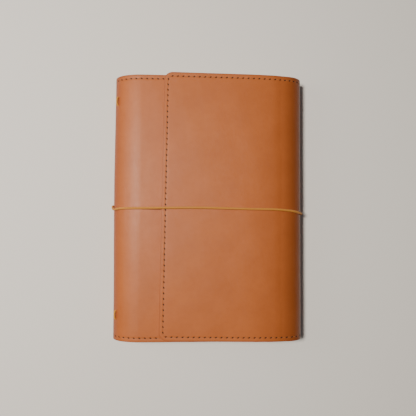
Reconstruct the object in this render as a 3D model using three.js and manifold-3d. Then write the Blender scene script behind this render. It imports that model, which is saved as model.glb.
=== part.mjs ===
// Leather notebook cover: a wrap-around cover with a stitched flap, an elastic closure cord,
// and three booklets held in its spine by two loops of binding elastic.
// Millimetres. It lies closed on its back: +X runs from the spine to the fore-edge, +Y along
// the spine to the top edge, and +Z up. The origin is under the middle, on the table.

import * as THREE from 'three';
import { mergeVertices } from 'three/addons/utils/BufferGeometryUtils.js';
import Module from 'manifold-3d';

const wasm = await Module();
wasm.setup();

const radians = THREE.MathUtils.degToRad;

// Overall sizes of the closed cover.
const COVER_WIDTH = 157.6;
const COVER_HEIGHT = 220;
const FRONT_TOP_Z = 26.65;

// Sheets, and the play between pieces that touch.
const LEATHER = 1.3;
const LINING = 0.8;
const GAP = 0.3;
const LINING_INSET = 0.5;
const CORNER_RADIUS = 7;

// How far the flap's free edge stops from the spine, and the front panel's from the fore-edge.
const FLAP_SETBACK = 41;
const FRONT_SETBACK = 13;

// How far the flap's free edge dips under a sheet's depth above the front panel's top.
const FLAP_DIP = 0.05;

// The bends: radius of each, and how far the front panel and the flap lean from level.
const SPINE_LOW_RADIUS = 9;
const SPINE_SHOULDER_RADIUS = 17;
const SPINE_TOP_RADIUS = 36;
const FRONT_LEAN = 2.8;
const FORE_LOW_RADIUS = 7;
const FORE_SHOULDER_RADIUS = 15;
const FORE_TOP_RADIUS = 50;
const FLAP_LEAN = 2.2;

// Angles round the wrap, from the back panel, at which one rigid stretch of it ends.
const SPINE_BENDS = [0, 50, 90, 130, 160, 180 + FRONT_LEAN];
const FORE_BENDS = [0, 60, 120, 160, 180 - FLAP_LEAN];

// The shallow groove under the back, in which the closure cord lies clear of the table.
const GROOVE_DEPTH = 2.25;
const GROOVE_Y = -3;
const GROOVE_REACH = 25;
const GROOVE_FADE = 9;

// Booklets. The groove's crest carries the lowest one a little clear of the lining.
const CREST_LIFT = 1.1;
const BOOKLET_MARGIN = 5;
const BOOKLET_FORE_MARGIN = 3;
const BOOKLET_GAP = 0.4;
const BOOKLET_LEANS = [0, 0.75, 1.5];
const BOOKLET_COVER = 0.5;
const BORE_RADIUS = 1.15;
const BORE_INSET = 0.5;
const STAPLE_WIRE = 0.5;
const STAPLE_WIDTH = 12;
const STAPLE_FROM_END = 50;

// Cords.
const CLOSURE_RADIUS = 0.9;
const CLOSURE_HOLE_RADIUS = 2.3;
const CLOSURE_HOLE_Y = -0.2;
const CLOSURE_HOLE_ANGLE = 90;
const STRAND_SPACING = 2.2;
const KNOT_RADIUS = 2.1;
const BINDING_RADIUS = 0.75;
const BINDING_HOLE_RADIUS = 1.2;
const BINDING_FROM_END = 15;
const BINDING_STITCH = 7.5;
const LOWER_ROW_ANGLE = 50;
const UPPER_ROW_ANGLE = 130;
const STRANDS_APART = 14;

// Mesh fineness.
const GROOVE_STEP = 5;
const BEND_STEP = 9;
const CORNER_STEPS = 6;
const CORD_SIDES = 8;
const FOLD_SEGMENTS = 5;

// Values that follow from those above.
const spineX = -COVER_WIDTH / 2;
const foreX = COVER_WIDTH / 2;
const halfHeight = COVER_HEIGHT / 2;
const flapEdgeX = spineX + FLAP_SETBACK;
const sheetDepth = LEATHER + GAP + LINING;
const flapEdgeZ = FRONT_TOP_Z + sheetDepth - FLAP_DIP;

const colours = {
  leather: [0xba784d, 0.62],
  lining: [0x8a5a38, 0.8],
  kraft: [0xb58a5a, 0.9],
  paper: [0xf0e8d6, 0.95],
  cord: [0xc98d3f, 0.7],
  binding: [0xb98445, 0.75],
  steel: [0xb9bcc0, 0.35, 0.9],
};

// --- The wrap's section: arcs from the back panel's edge, each a radius and an end angle ---

/** How far arcs climb, from a start angle. */
function climb(arcs, start = 0) {
  let from = start;
  let total = 0;
  for (const [radius, to] of arcs) {
    total += radius * (Math.cos(radians(from)) - Math.cos(radians(to)));
    from = to;
  }
  return total;
}

/** How far arcs run outwards, and then back, from a start angle. */
function run(arcs, start = 0) {
  let from = start;
  let total = 0;
  for (const [radius, to] of arcs) {
    total += radius * (Math.sin(radians(to)) - Math.sin(radians(from)));
    from = to;
  }
  return total;
}

const [, spineLow, , spineHigh, spineShoulder, spineEnd] = SPINE_BENDS;
const spineUpper = [
  [SPINE_SHOULDER_RADIUS, spineShoulder],
  [SPINE_TOP_RADIUS, spineEnd],
];
const spineMiddleRadius =
  (FRONT_TOP_Z - climb([[SPINE_LOW_RADIUS, spineLow]]) - climb(spineUpper, spineHigh)) /
  climb([[1, spineHigh]], spineLow);
const spineArcs = [
  [SPINE_LOW_RADIUS, spineLow],
  [spineMiddleRadius, 90],
  [spineMiddleRadius, spineHigh],
  ...spineUpper,
];

const [, foreLow, foreHigh, foreShoulder, foreEnd] = FORE_BENDS;
const foreUpper = [
  [FORE_SHOULDER_RADIUS, foreShoulder],
  [FORE_TOP_RADIUS, foreEnd],
];
// The flap runs on straight from its last bend, so its start lies lower than its free edge.
const foreUpperRun = -run(foreUpper, foreHigh);
const flapStartNear = foreX - foreUpperRun;
const flapStartZ = flapEdgeZ - (flapStartNear - flapEdgeX) * Math.tan(radians(FLAP_LEAN));
const foreMiddleRadius =
  (flapStartZ - climb([[FORE_LOW_RADIUS, foreLow]]) - climb(foreUpper, foreHigh)) /
  climb([[1, foreHigh]], foreLow);
const foreArcs = [
  [FORE_LOW_RADIUS, foreLow],
  [foreMiddleRadius, 90],
  [foreMiddleRadius, foreHigh],
  ...foreUpper,
];

const backSpineX = spineX + run(spineArcs.slice(0, 2));
const backForeX = foreX - run(foreArcs.slice(0, 2));

/** Length along the wrap, from the origin, at which one side has turned through an angle. */
function lengthAt(arcs, edge, angle) {
  let from = 0;
  let total = Math.abs(edge);
  for (const [radius, to] of arcs) {
    total += radius * radians(THREE.MathUtils.clamp(angle - from, 0, to - from));
    from = to;
  }
  return Math.sign(edge) * total;
}

const onSpine = (angle) => lengthAt(spineArcs, backSpineX, angle);
const onFore = (angle) => lengthAt(foreArcs, backForeX, angle);

/** The outer line at a length along the wrap: its place and its inward normal, as x and z. */
function wrapAt(length) {
  const side = length < 0 ? -1 : 1;
  const arcs = side < 0 ? spineArcs : foreArcs;
  const edge = Math.abs(side < 0 ? backSpineX : backForeX);
  let left = Math.abs(length) - edge;
  if (left <= 0) return { x: length, z: 0, nx: 0, nz: 1 };
  let x = edge;
  let z = 0;
  let angle = 0;
  for (const [radius, to] of arcs) {
    const end = Math.min(radians(to), angle + left / radius);
    x += radius * (Math.sin(end) - Math.sin(angle));
    z += radius * (Math.cos(angle) - Math.cos(end));
    left -= radius * (end - angle);
    angle = end;
  }
  x += left * Math.cos(angle);
  z += left * Math.sin(angle);
  return { x: side * x, z, nx: -side * Math.sin(angle), nz: Math.cos(angle) };
}

/** Depth of the groove at a length along the wrap and a height. */
function grooveAt(length, y) {
  const off = Math.abs(y - GROOVE_Y) / GROOVE_REACH;
  const edge = Math.abs(length < 0 ? backSpineX : backForeX);
  const past = (Math.abs(length) - edge) / GROOVE_FADE;
  if (off >= 1 || past >= 1) return 0;
  const across = (1 + Math.cos(Math.PI * off)) / 2;
  const along = (1 + Math.cos(Math.PI * Math.max(past, 0))) / 2;
  return GROOVE_DEPTH * across * along;
}

/** A point at a length along the wrap, a height, and a depth under the outer line. */
function inWrap(length, y, depth) {
  const at = wrapAt(length);
  const inwards = depth + grooveAt(length, y);
  return new THREE.Vector3(at.x + at.nx * inwards, y, at.z + at.nz * inwards);
}

// --- Solids ---

/** A closed mesh whose shared vertices are merged, as a manifold solid. */
function solid(geometry) {
  const bare = geometry.clone();
  bare.deleteAttribute('normal');
  bare.deleteAttribute('uv');
  const merged = mergeVertices(bare, 1e-5);
  return new wasm.Manifold(new wasm.Mesh({
    numProp: 3,
    vertProperties: new Float32Array(merged.attributes.position.array),
    triVerts: new Uint32Array(merged.index.array),
  }));
}

function geometryOf(manifold) {
  const mesh = manifold.getMesh();
  const geometry = new THREE.BufferGeometry();
  geometry.setAttribute('position', new THREE.BufferAttribute(mesh.vertProperties, 3));
  geometry.setIndex(new THREE.BufferAttribute(mesh.triVerts, 1));
  geometry.computeVertexNormals();
  return geometry;
}

function cutAway(geometry, cutters) {
  let rest = solid(geometry);
  for (const cutter of cutters) rest = rest.subtract(solid(cutter));
  return geometryOf(rest);
}

function boxBetween(low, high) {
  const size = high.map((value, i) => value - low[i]);
  const box = new THREE.BoxGeometry(...size);
  return box.translate(...low.map((value, i) => value + size[i] / 2));
}

/** A smooth curve that is stepped evenly between its points, however far apart they are. */
class Route extends THREE.CatmullRomCurve3 {
  getUtoTmapping(u) {
    return u;
  }
}

/** A cord of a radius through points chosen along its route, with some steps to each. */
function cord(points, radius, stepsEach) {
  const section = new THREE.Shape();
  section.absarc(0, 0, radius, 0, 2 * Math.PI);
  return new THREE.ExtrudeGeometry(section, {
    steps: stepsEach * (points.length - 1),
    curveSegments: CORD_SIDES / 2,
    bevelEnabled: false,
    extrudePath: new Route(points, false, 'centripetal'),
  });
}

/** A drill across the wrap's sheets, for a cord hole. */
function drill(length, y, radius) {
  const reach = sheetDepth + 2;
  const at = wrapAt(length);
  const hole = new THREE.CylinderGeometry(radius, radius, 2 * reach, 2 * CORD_SIDES);
  hole.rotateZ(Math.PI / 2);
  hole.rotateY(Math.atan2(-at.nz, at.nx));
  const middle = inWrap(length, y, sheetDepth / 2);
  return hole.translate(middle.x, middle.y, middle.z);
}

/** Lengths between two ends, close enough together for the bends between them. */
function stations(start, end) {
  const bends = [...SPINE_BENDS.map(onSpine), ...FORE_BENDS.map(onFore), 0];
  const stops = [start, ...bends.filter((b) => b > start && b < end).sort((a, b) => a - b), end];
  const all = [start];
  for (let i = 1; i < stops.length; i += 1) {
    const from = wrapAt(stops[i - 1]);
    const to = wrapAt(stops[i]);
    const turn = Math.acos(THREE.MathUtils.clamp(from.nx * to.nx + from.nz * to.nz, -1, 1));
    const count = Math.max(1, Math.round(THREE.MathUtils.radToDeg(turn) / BEND_STEP));
    for (let k = 1; k <= count; k += 1) {
      all.push(stops[i - 1] + ((stops[i] - stops[i - 1]) * k) / count);
    }
  }
  return all;
}

/** The same, with the stops of a round corner at a free edge, if either end is one. */
function stationsToEdge(start, end, freeEdge) {
  const all = stations(start, end);
  if (freeEdge === undefined) return all;
  const inwards = Math.sign((start + end) / 2 - freeEdge);
  const corner = [];
  for (let k = 1; k <= CORNER_STEPS; k += 1) {
    const share = 1 - Math.cos((Math.PI / 2) * (k / CORNER_STEPS));
    corner.push(freeEdge + inwards * CORNER_RADIUS * share);
  }
  return [...all, ...corner].sort((a, b) => a - b);
}

/** Heights of the rows of a piece: its two ends, and close rows across the groove. */
function rowsTo(half, grooved) {
  const rows = [-half];
  for (let off = -GROOVE_REACH; grooved && off <= GROOVE_REACH; off += GROOVE_STEP) {
    rows.push(GROOVE_Y + off);
  }
  return [...rows, half];
}

/** A sheet of the wrap between two lengths and two depths, inset from the cover's edges. */
function sheet({ start, end, outer, inner, inset, freeEdge, grooved }) {
  const stops = stationsToEdge(start, end, freeEdge);
  const rows = rowsTo(1, grooved);
  const geometry = new THREE.BoxGeometry(1, 1, 1, stops.length - 1, rows.length - 1, 1);
  const position = geometry.attributes.position;
  for (let i = 0; i < position.count; i += 1) {
    const length = stops[Math.round((position.getX(i) + 0.5) * (stops.length - 1))];
    const depth = position.getZ(i) < 0 ? outer : inner;
    const toEdge = freeEdge === undefined ? CORNER_RADIUS : Math.abs(length - freeEdge);
    const missing = Math.max(CORNER_RADIUS - toEdge, 0);
    const cut = CORNER_RADIUS - Math.sqrt(CORNER_RADIUS ** 2 - missing ** 2);
    const row = Math.round((position.getY(i) + 0.5) * (rows.length - 1));
    const atEnd = row === 0 || row === rows.length - 1;
    const y = atEnd ? rows[row] * (halfHeight - inset - cut) : rows[row];
    const point = inWrap(length, y, depth);
    position.setXYZ(i, point.x, point.y, point.z);
  }
  return geometry;
}

// --- The cover: leather outside and lining inside, in stretches between the bends ---

const halfGap = GAP / 2;
const middles = (bends) => bends.slice(1).map((bend, i) => (bends[i] + bend) / 2);
const [sA, sB, sC, sD, sE] = middles(SPINE_BENDS).map(onSpine);
const [fA, fB, fC, fD] = middles(FORE_BENDS).map(onFore);

/** Length along the wrap at which its straight end reaches an x. */
function lengthToX(bendEnd, lean, x) {
  const from = wrapAt(bendEnd);
  return bendEnd + (Math.sign(bendEnd) * Math.abs(x - from.x)) / Math.cos(radians(lean));
}

/** The front panel's edge, drawn back from an x until it clears the lining round the fore-edge. */
function clearOfFore(x) {
  const edge = wrapAt(lengthToX(onSpine(spineEnd), FRONT_LEAN, x));
  for (let angle = 90; angle <= 180; angle += 1) {
    const lining = inWrap(onFore(angle), 0, sheetDepth);
    const under = lining.z < edge.z + GAP && lining.x < edge.x + GAP;
    if (under) return clearOfFore(x - GAP);
  }
  return x;
}
const frontEdgeX = clearOfFore(foreX - FRONT_SETBACK);
const frontEdge = lengthToX(onSpine(spineEnd), FRONT_LEAN, frontEdgeX);
const flapEdge = lengthToX(onFore(foreEnd), FLAP_LEAN, flapEdgeX);

const stretches = {
  front: { start: frontEdge, end: sE - halfGap, freeEdge: frontEdge },
  spine_shoulder: { start: sE + halfGap, end: sD - halfGap },
  spine_upper: { start: sD + halfGap, end: sC - halfGap },
  spine_middle: { start: sC + halfGap, end: sB - halfGap },
  spine_lower: { start: sB + halfGap, end: sA - halfGap, grooved: true },
  back: { start: sA + halfGap, end: fA - halfGap, grooved: true },
  fore_lower: { start: fA + halfGap, end: fB - halfGap, grooved: true },
  fore_middle: { start: fB + halfGap, end: fC - halfGap },
  fore_upper: { start: fC + halfGap, end: fD - halfGap },
  flap: { start: fD + halfGap, end: flapEdge, freeEdge: flapEdge },
};

const holeHeights = [
  halfHeight - BINDING_FROM_END,
  halfHeight - BINDING_FROM_END - BINDING_STITCH,
];
const rowHoles = (angle) => [1, -1].flatMap(
  (end) => holeHeights.map((y) => drill(onSpine(angle), end * y, BINDING_HOLE_RADIUS)),
);
const holes = {
  spine_lower: rowHoles(LOWER_ROW_ANGLE),
  spine_middle: [drill(onSpine(CLOSURE_HOLE_ANGLE), CLOSURE_HOLE_Y, CLOSURE_HOLE_RADIUS)],
  spine_upper: rowHoles(UPPER_ROW_ANGLE),
};

const cover = new THREE.Group();

function addMesh(name, geometry, finish) {
  const [color, roughness, metalness = 0] = colours[finish];
  const material = new THREE.MeshStandardMaterial({ color, roughness, metalness });
  const mesh = new THREE.Mesh(geometry, material);
  mesh.name = name;
  cover.add(mesh);
}

for (const [place, stretch] of Object.entries(stretches)) {
  const layers = [
    ['outer', 'leather', { outer: 0, inner: LEATHER, inset: 0 }],
    ['lining', 'lining', { outer: LEATHER + GAP, inner: sheetDepth, inset: LINING_INSET }],
  ];
  for (const [prefix, finish, layer] of layers) {
    const trimmed = { ...stretch };
    if (stretch.freeEdge !== undefined) {
      trimmed.freeEdge -= Math.sign(stretch.freeEdge) * layer.inset;
      if (stretch.freeEdge < 0) trimmed.start = trimmed.freeEdge;
      else trimmed.end = trimmed.freeEdge;
    }
    const whole = sheet({ ...trimmed, ...layer });
    addMesh(`${prefix}_${place}`, cutAway(whole, holes[place] ?? []), finish);
  }
}

// --- Booklets: each a folded cover round a page block, held by staples in its fold ---

const stackBottom = sheetDepth + GAP + CREST_LIFT;
const bookletEndX = frontEdgeX - BOOKLET_FORE_MARGIN;
const frontInside = inWrap(lengthToX(onSpine(spineEnd), FRONT_LEAN, bookletEndX), 0, sheetDepth);
const bookletCount = BOOKLET_LEANS.length;
const stackRoom = frontInside.z - GAP - stackBottom - BOOKLET_GAP * (bookletCount - 1);
const bookletThickness = stackRoom / bookletCount;
const bookletRadius = bookletThickness / 2;
const bookletHalfHeight = halfHeight - BOOKLET_MARGIN;

/** How far left a fold of the booklets' radius can stand at a height, inside the lining. */
function leftmostFold(z) {
  const clear = bookletRadius + GAP;
  let x = spineX;
  for (let angle = 0; angle <= spineEnd; angle += 1) {
    const point = inWrap(onSpine(angle), 0, sheetDepth);
    const off = Math.abs(point.z - z);
    if (off < clear) x = Math.max(x, point.x + Math.sqrt(clear ** 2 - off ** 2));
  }
  return x;
}

const endHeights = BOOKLET_LEANS.map(
  (_, i) => stackBottom + bookletRadius + i * (bookletThickness + BOOKLET_GAP),
);
const foldLow = leftmostFold(endHeights[0]);
const foldHeightAt = (i, x) => endHeights[i] + (bookletEndX - x) * Math.tan(radians(BOOKLET_LEANS[i]));
const foldX = Math.max(...BOOKLET_LEANS.map((_, i) => leftmostFold(foldHeightAt(i, foldLow))));
const bookletLength = bookletEndX - foldX;

/** The outline of a fold and its two leaves, round the origin, open towards +X. */
function foldShape(radius, length) {
  const shape = new THREE.Shape();
  shape.moveTo(length, radius);
  shape.lineTo(0, radius);
  shape.absarc(0, 0, radius, Math.PI / 2, 1.5 * Math.PI, false);
  shape.lineTo(length, -radius);
  return shape;
}

/** A shape drawn in X and Z, drawn out along Y and leant into a booklet's place. */
function bookletPiece(i, shape) {
  const rows = rowsTo(bookletHalfHeight, i === 0);
  const steps = rows.length - 1;
  const geometry = new THREE.ExtrudeGeometry(shape, {
    depth: steps, steps, curveSegments: FOLD_SEGMENTS, bevelEnabled: false,
  });
  geometry.rotateX(Math.PI / 2);
  const position = geometry.attributes.position;
  for (let n = 0; n < position.count; n += 1) {
    position.setY(n, rows[Math.round(position.getY(n)) + steps]);
  }
  return geometry;
}

function coverShape() {
  const inside = bookletRadius - BOOKLET_COVER;
  const shape = foldShape(bookletRadius, bookletLength);
  shape.lineTo(bookletLength, -inside);
  shape.lineTo(0, -inside);
  shape.absarc(0, 0, inside, 1.5 * Math.PI, Math.PI / 2, true);
  shape.lineTo(bookletLength, inside);
  return shape;
}

function pagesShape() {
  const shape = foldShape(bookletRadius - BOOKLET_COVER - GAP, bookletLength - GAP);
  const bore = new THREE.Path();
  bore.absarc(BORE_INSET, 0, BORE_RADIUS, 0, 2 * Math.PI, true);
  shape.holes.push(bore);
  return shape;
}

/** One staple of a wire's width more than its own by a play: a crown and two legs. */
function staple(y, play) {
  const half = STAPLE_WIRE / 2 + play;
  const outside = -bookletRadius - GAP;
  const boreEdge = BORE_INSET - BORE_RADIUS - GAP;
  const crown = boxBetween(
    [outside - STAPLE_WIRE, y - STAPLE_WIDTH / 2, -half], [outside, y + STAPLE_WIDTH / 2, half],
  );
  const legs = [-1, 1].map((side) => {
    const leg = y + side * (STAPLE_WIDTH / 2 - STAPLE_WIRE / 2);
    return boxBetween(
      [outside - STAPLE_WIRE / 2, leg - half, -half], [boreEdge + play, leg + half, half],
    );
  });
  return [crown, ...legs];
}

const stapleHeights = [bookletHalfHeight - STAPLE_FROM_END, STAPLE_FROM_END - bookletHalfHeight];
const legCuts = stapleHeights.flatMap((y) => staple(y, GAP).slice(1));

function stapleWire(y) {
  const [crown, ...legs] = staple(y, 0).map(solid);
  return geometryOf(legs.reduce((whole, leg) => whole.add(leg), crown));
}

/** Lean a piece made round its fold, and set it down at its booklet's place. */
function settle(i, geometry) {
  geometry.rotateY(radians(BOOKLET_LEANS[i]));
  geometry.translate(foldX, 0, foldHeightAt(i, foldX));
  return geometry;
}

/** How far the groove lifts a point of the bottom booklet: less towards its upper face. */
function liftAt(x, y, z) {
  const share = THREE.MathUtils.clamp(1 - (z - stackBottom) / bookletThickness, 0, 1);
  return Math.max(grooveAt(Math.max(x, backSpineX), y) - CREST_LIFT, 0) * share;
}

function liftOverGroove(geometry) {
  const position = geometry.attributes.position;
  for (let n = 0; n < position.count; n += 1) {
    const at = [position.getX(n), position.getY(n), position.getZ(n)];
    position.setZ(n, at[2] + liftAt(...at));
  }
  return geometry;
}

const below = boxBetween([-COVER_WIDTH, -COVER_HEIGHT, -COVER_WIDTH], [COVER_WIDTH, COVER_HEIGHT, halfGap]);
const above = boxBetween([-COVER_WIDTH, -COVER_HEIGHT, -halfGap], [COVER_WIDTH, COVER_HEIGHT, COVER_WIDTH]);
const booklets = ['bottom', 'middle', 'top'];

booklets.forEach((booklet, i) => {
  const pieces = [
    ['cover', 'kraft', bookletPiece(i, coverShape())],
    ['pages', 'paper', bookletPiece(i, pagesShape())],
  ];
  for (const [piece, finish, whole] of pieces) {
    const name = `insert_${booklet}_${piece}`;
    if (booklet === 'middle') {
      addMesh(`${name}_lower`, settle(i, cutAway(whole, [above, ...legCuts])), finish);
      addMesh(`${name}_upper`, settle(i, cutAway(whole, [below, ...legCuts])), finish);
    } else {
      const placed = settle(i, cutAway(whole, legCuts));
      addMesh(name, i === 0 ? liftOverGroove(placed) : placed, finish);
    }
  }
  stapleHeights.forEach((y, n) => {
    addMesh(`insert_${booklet}_staple_${n + 1}`, settle(i, stapleWire(y)), 'steel');
  });
});

// --- Closure cord: from the spine hole over the front, round the fore-edge and back under ---

const holeLength = onSpine(CLOSURE_HOLE_ANGLE);
const cordDepth = -(CLOSURE_RADIUS + GAP);
const frontStrandY = CLOSURE_HOLE_Y + STRAND_SPACING / 2;
const backStrandY = CLOSURE_HOLE_Y - STRAND_SPACING / 2;
const spineRoute = (stops) => stops.map(([angle, y]) => inWrap(onSpine(angle), y, cordDepth));
const foreRoute = (stops) => stops.map(([angle, y]) => inWrap(onFore(angle), y, cordDepth));
const flapRoute = (stops) => stops.map(
  ([x, y]) => inWrap(lengthToX(onFore(foreEnd), FLAP_LEAN, x), y, cordDepth),
);

const closureRoute = [
  inWrap(holeLength, frontStrandY, 0.1),
  inWrap(holeLength, frontStrandY, -0.3),
  inWrap(onSpine(93), frontStrandY, cordDepth * 0.75),
  ...spineRoute([[101, 0.5], [113, -1.6], [126, -1.9], [140, -1.4], [155, -1.1], [171, -1]]),
  ...flapRoute([[flapEdgeX, -0.7], [flapEdgeX + 3, -0.7], [-5, -0.4], [35, -1.2]]),
  ...foreRoute([[177, -1.8], [165, -2.3], [150, -3], [135, -3.7], [118, -4.4], [100, -4.8]]),
  ...foreRoute([[82, -5], [64, -5.1], [46, -5.1], [28, -5], [10, -5]]),
  ...[backForeX - 8, 30, -10, -45, backSpineX + 8].map(
    (x) => inWrap(x, -1.8 - (3.2 * (x - backSpineX)) / (backForeX - backSpineX), cordDepth),
  ),
  ...spineRoute([[10, -1.6], [25, -1.5], [42, -1.4], [60, -1.3], [78, -1.3]]),
  inWrap(onSpine(87), backStrandY, cordDepth * 0.75),
  inWrap(holeLength, backStrandY, -0.3),
  inWrap(holeLength, backStrandY, 0.1),
];
addMesh('closure_band', cord(closureRoute, CLOSURE_RADIUS, 2), 'cord');

/** The knot inside the spine, and its two ends through the hole. */
function knot() {
  const deep = sheetDepth + GAP + KNOT_RADIUS;
  const centre = inWrap(holeLength, CLOSURE_HOLE_Y, deep);
  const ball = new THREE.SphereGeometry(KNOT_RADIUS, 16, 10);
  ball.scale(1, 1.25, 1);
  let whole = solid(ball.translate(centre.x, centre.y, centre.z));
  for (const y of [frontStrandY, backStrandY]) {
    const ends = [inWrap(holeLength, y, 0.1 + GAP), inWrap(holeLength, y, deep)];
    whole = whole.add(solid(cord(ends, CLOSURE_RADIUS, 1)));
  }
  return geometryOf(whole);
}
addMesh('closure_knot', knot(), 'cord');

// --- Binding elastics: each a loop through four holes, and through two booklet folds ---

const [outerHole, innerHole] = holeHeights;
const overEnd = bookletHalfHeight + GAP + BINDING_RADIUS + 0.2;
const strandDepth = sheetDepth + GAP + BINDING_RADIUS;
const reversed = (points) => [...points].reverse();

/** The centre of a booklet's bore at a height. */
function boreAt(i, y) {
  const lean = radians(BOOKLET_LEANS[i]);
  const x = foldX + BORE_INSET * Math.cos(lean);
  const z = foldHeightAt(i, foldX) - BORE_INSET * Math.sin(lean);
  return new THREE.Vector3(x, y, i === 0 ? z + liftAt(x, y, z) : z);
}

/** From a hole in a row up inside the lining, over a booklet's end and into its fold. */
function strandEnd(rowAngle, i, holeY, side, aside = 0) {
  const length = onSpine(rowAngle);
  const besideRow = onSpine(rowAngle - aside);
  const bore = boreAt(i, side * overEnd);
  const rise = inWrap(besideRow, side * (overEnd - 3.5), strandDepth);
  const corner = inWrap(besideRow, side * (overEnd - 0.3), strandDepth + 0.6);
  const across = corner.clone().lerp(bore, 0.6).setY(side * (overEnd + 0.2));
  return [
    inWrap(length, side * holeY, sheetDepth / 2),
    inWrap(length, side * (holeY + 0.5), sheetDepth + 0.9),
    inWrap(besideRow, side * (holeY + 2.6), strandDepth),
    rise,
    corner,
    across,
    bore.clone().lerp(across, 0.12),
    boreAt(i, side * (bookletHalfHeight - 0.2)),
    boreAt(i, side * (bookletHalfHeight - 4)),
  ];
}

/** The short arch outside between a row's two holes at one end. */
function arch(rowAngle, side) {
  const length = onSpine(rowAngle);
  const crown = -(BINDING_RADIUS + GAP);
  return [
    inWrap(length, side * innerHole, LEATHER / 2),
    inWrap(length, side * (innerHole + 0.6), crown * 0.7),
    inWrap(length, side * (innerHole + 2), crown - 0.1),
    inWrap(length, side * (innerHole + BINDING_STITCH / 2), crown - 0.35),
    inWrap(length, side * (outerHole - 2), crown - 0.1),
    inWrap(length, side * (outerHole - 0.6), crown * 0.7),
    inWrap(length, side * outerHole, LEATHER / 2),
  ];
}

/** The second strand, along the row inside the lining, when no booklet hangs on it. */
function spareStrand(rowAngle, side) {
  const length = onSpine(rowAngle);
  return [
    inWrap(length, 0, strandDepth).setY(side * halfGap),
    inWrap(length, side * (innerHole - 12), strandDepth),
    inWrap(length, side * (innerHole - 2.2), strandDepth),
    inWrap(length, side * (innerHole - 0.5), sheetDepth + 0.9),
    inWrap(length, side * innerHole, sheetDepth / 2),
  ];
}

/** The second strand through another booklet's fold, its inner end beside the first strand. */
function secondFold(rowAngle, i, side) {
  const end = strandEnd(rowAngle, i, innerHole, side, STRANDS_APART);
  return [boreAt(i, side * halfGap), ...reversed(end)];
}

/** A loop on its row: from the second strand's middle, out, over, through and round again. */
function bindingLoop(rowAngle, i, halves) {
  const top = strandEnd(rowAngle, i, outerHole, 1);
  const bottom = strandEnd(rowAngle, i, outerHole, -1);
  const overGroove = reversed(rowsTo(1, i === 0).slice(1, -1)).map((y) => boreAt(i, y));
  return [...halves(1), ...arch(rowAngle, 1), ...top, ...overGroove,
    ...reversed(bottom), ...reversed(arch(rowAngle, -1)), ...reversed(halves(-1))];
}

const lowerLoop = bindingLoop(LOWER_ROW_ANGLE, 0, (side) => spareStrand(LOWER_ROW_ANGLE, side));
const upperLoop = bindingLoop(UPPER_ROW_ANGLE, 2, (side) => secondFold(UPPER_ROW_ANGLE, 1, side));
addMesh('binding_cord_lower', cord(lowerLoop, BINDING_RADIUS, 2), 'binding');
addMesh('binding_cord_upper', cord(upperLoop, BINDING_RADIUS, 2), 'binding');

export default cover;
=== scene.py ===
"""Looks of a leather notebook cover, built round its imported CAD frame.

The cover is one section line, the wrap, drawn out along the spine. Every leather and lining
piece is a grid over (length along the wrap, height), so relief, stitches and grain run on from
piece to piece. Design values are in millimetres; meshes are in metres.
"""

from __future__ import annotations

import logging
import math
from dataclasses import dataclass, field
from enum import Enum
from typing import Callable, Sequence

import bpy
import numpy as np
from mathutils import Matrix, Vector

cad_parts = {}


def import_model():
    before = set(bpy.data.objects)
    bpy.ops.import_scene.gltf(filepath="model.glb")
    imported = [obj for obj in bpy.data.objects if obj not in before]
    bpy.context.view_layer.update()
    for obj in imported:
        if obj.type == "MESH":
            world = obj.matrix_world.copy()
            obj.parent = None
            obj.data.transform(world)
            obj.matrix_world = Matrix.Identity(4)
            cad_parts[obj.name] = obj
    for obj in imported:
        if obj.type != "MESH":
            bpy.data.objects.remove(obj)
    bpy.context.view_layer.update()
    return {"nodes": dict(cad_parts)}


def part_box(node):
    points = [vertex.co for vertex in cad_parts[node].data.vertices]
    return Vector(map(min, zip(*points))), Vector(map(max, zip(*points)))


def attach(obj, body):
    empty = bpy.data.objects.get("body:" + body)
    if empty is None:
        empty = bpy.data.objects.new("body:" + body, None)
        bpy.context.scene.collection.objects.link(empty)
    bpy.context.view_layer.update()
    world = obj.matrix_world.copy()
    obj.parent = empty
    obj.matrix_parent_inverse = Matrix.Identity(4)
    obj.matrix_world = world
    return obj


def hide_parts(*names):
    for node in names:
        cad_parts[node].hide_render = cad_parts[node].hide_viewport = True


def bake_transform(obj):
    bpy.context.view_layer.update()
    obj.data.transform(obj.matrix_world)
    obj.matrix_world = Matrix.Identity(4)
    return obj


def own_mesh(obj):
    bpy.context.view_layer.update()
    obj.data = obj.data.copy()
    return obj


LOG = logging.getLogger("notebook_cover")
MM = 0.001
Array = np.ndarray


# --- Shaders ---


def linear(colour: str) -> tuple[float, float, float, float]:
    """Turn an sRGB hex colour into the linear one that shaders take.

    Args:
        colour: Six hex digits after a hash.

    Returns:
        Red, green, blue and alpha.
    """
    parts = [int(colour[i : i + 2], 16) / 255 for i in (1, 3, 5)]
    curve = [c / 12.92 if c <= 0.04045 else ((c + 0.055) / 1.055) ** 2.4 for c in parts]
    return curve[0], curve[1], curve[2], 1.0


def across(size: float) -> float:
    """The scale of a pattern whose cells are about a size, in millimetres, across."""
    return 1.0 / (size * MM)


@dataclass(frozen=True)
class Kind:
    """A kind of node: Blender's type for it, the output that is used, and its settings."""

    type: str
    output: int | str = 0
    settings: tuple[tuple[str, str], ...] = ()


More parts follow.
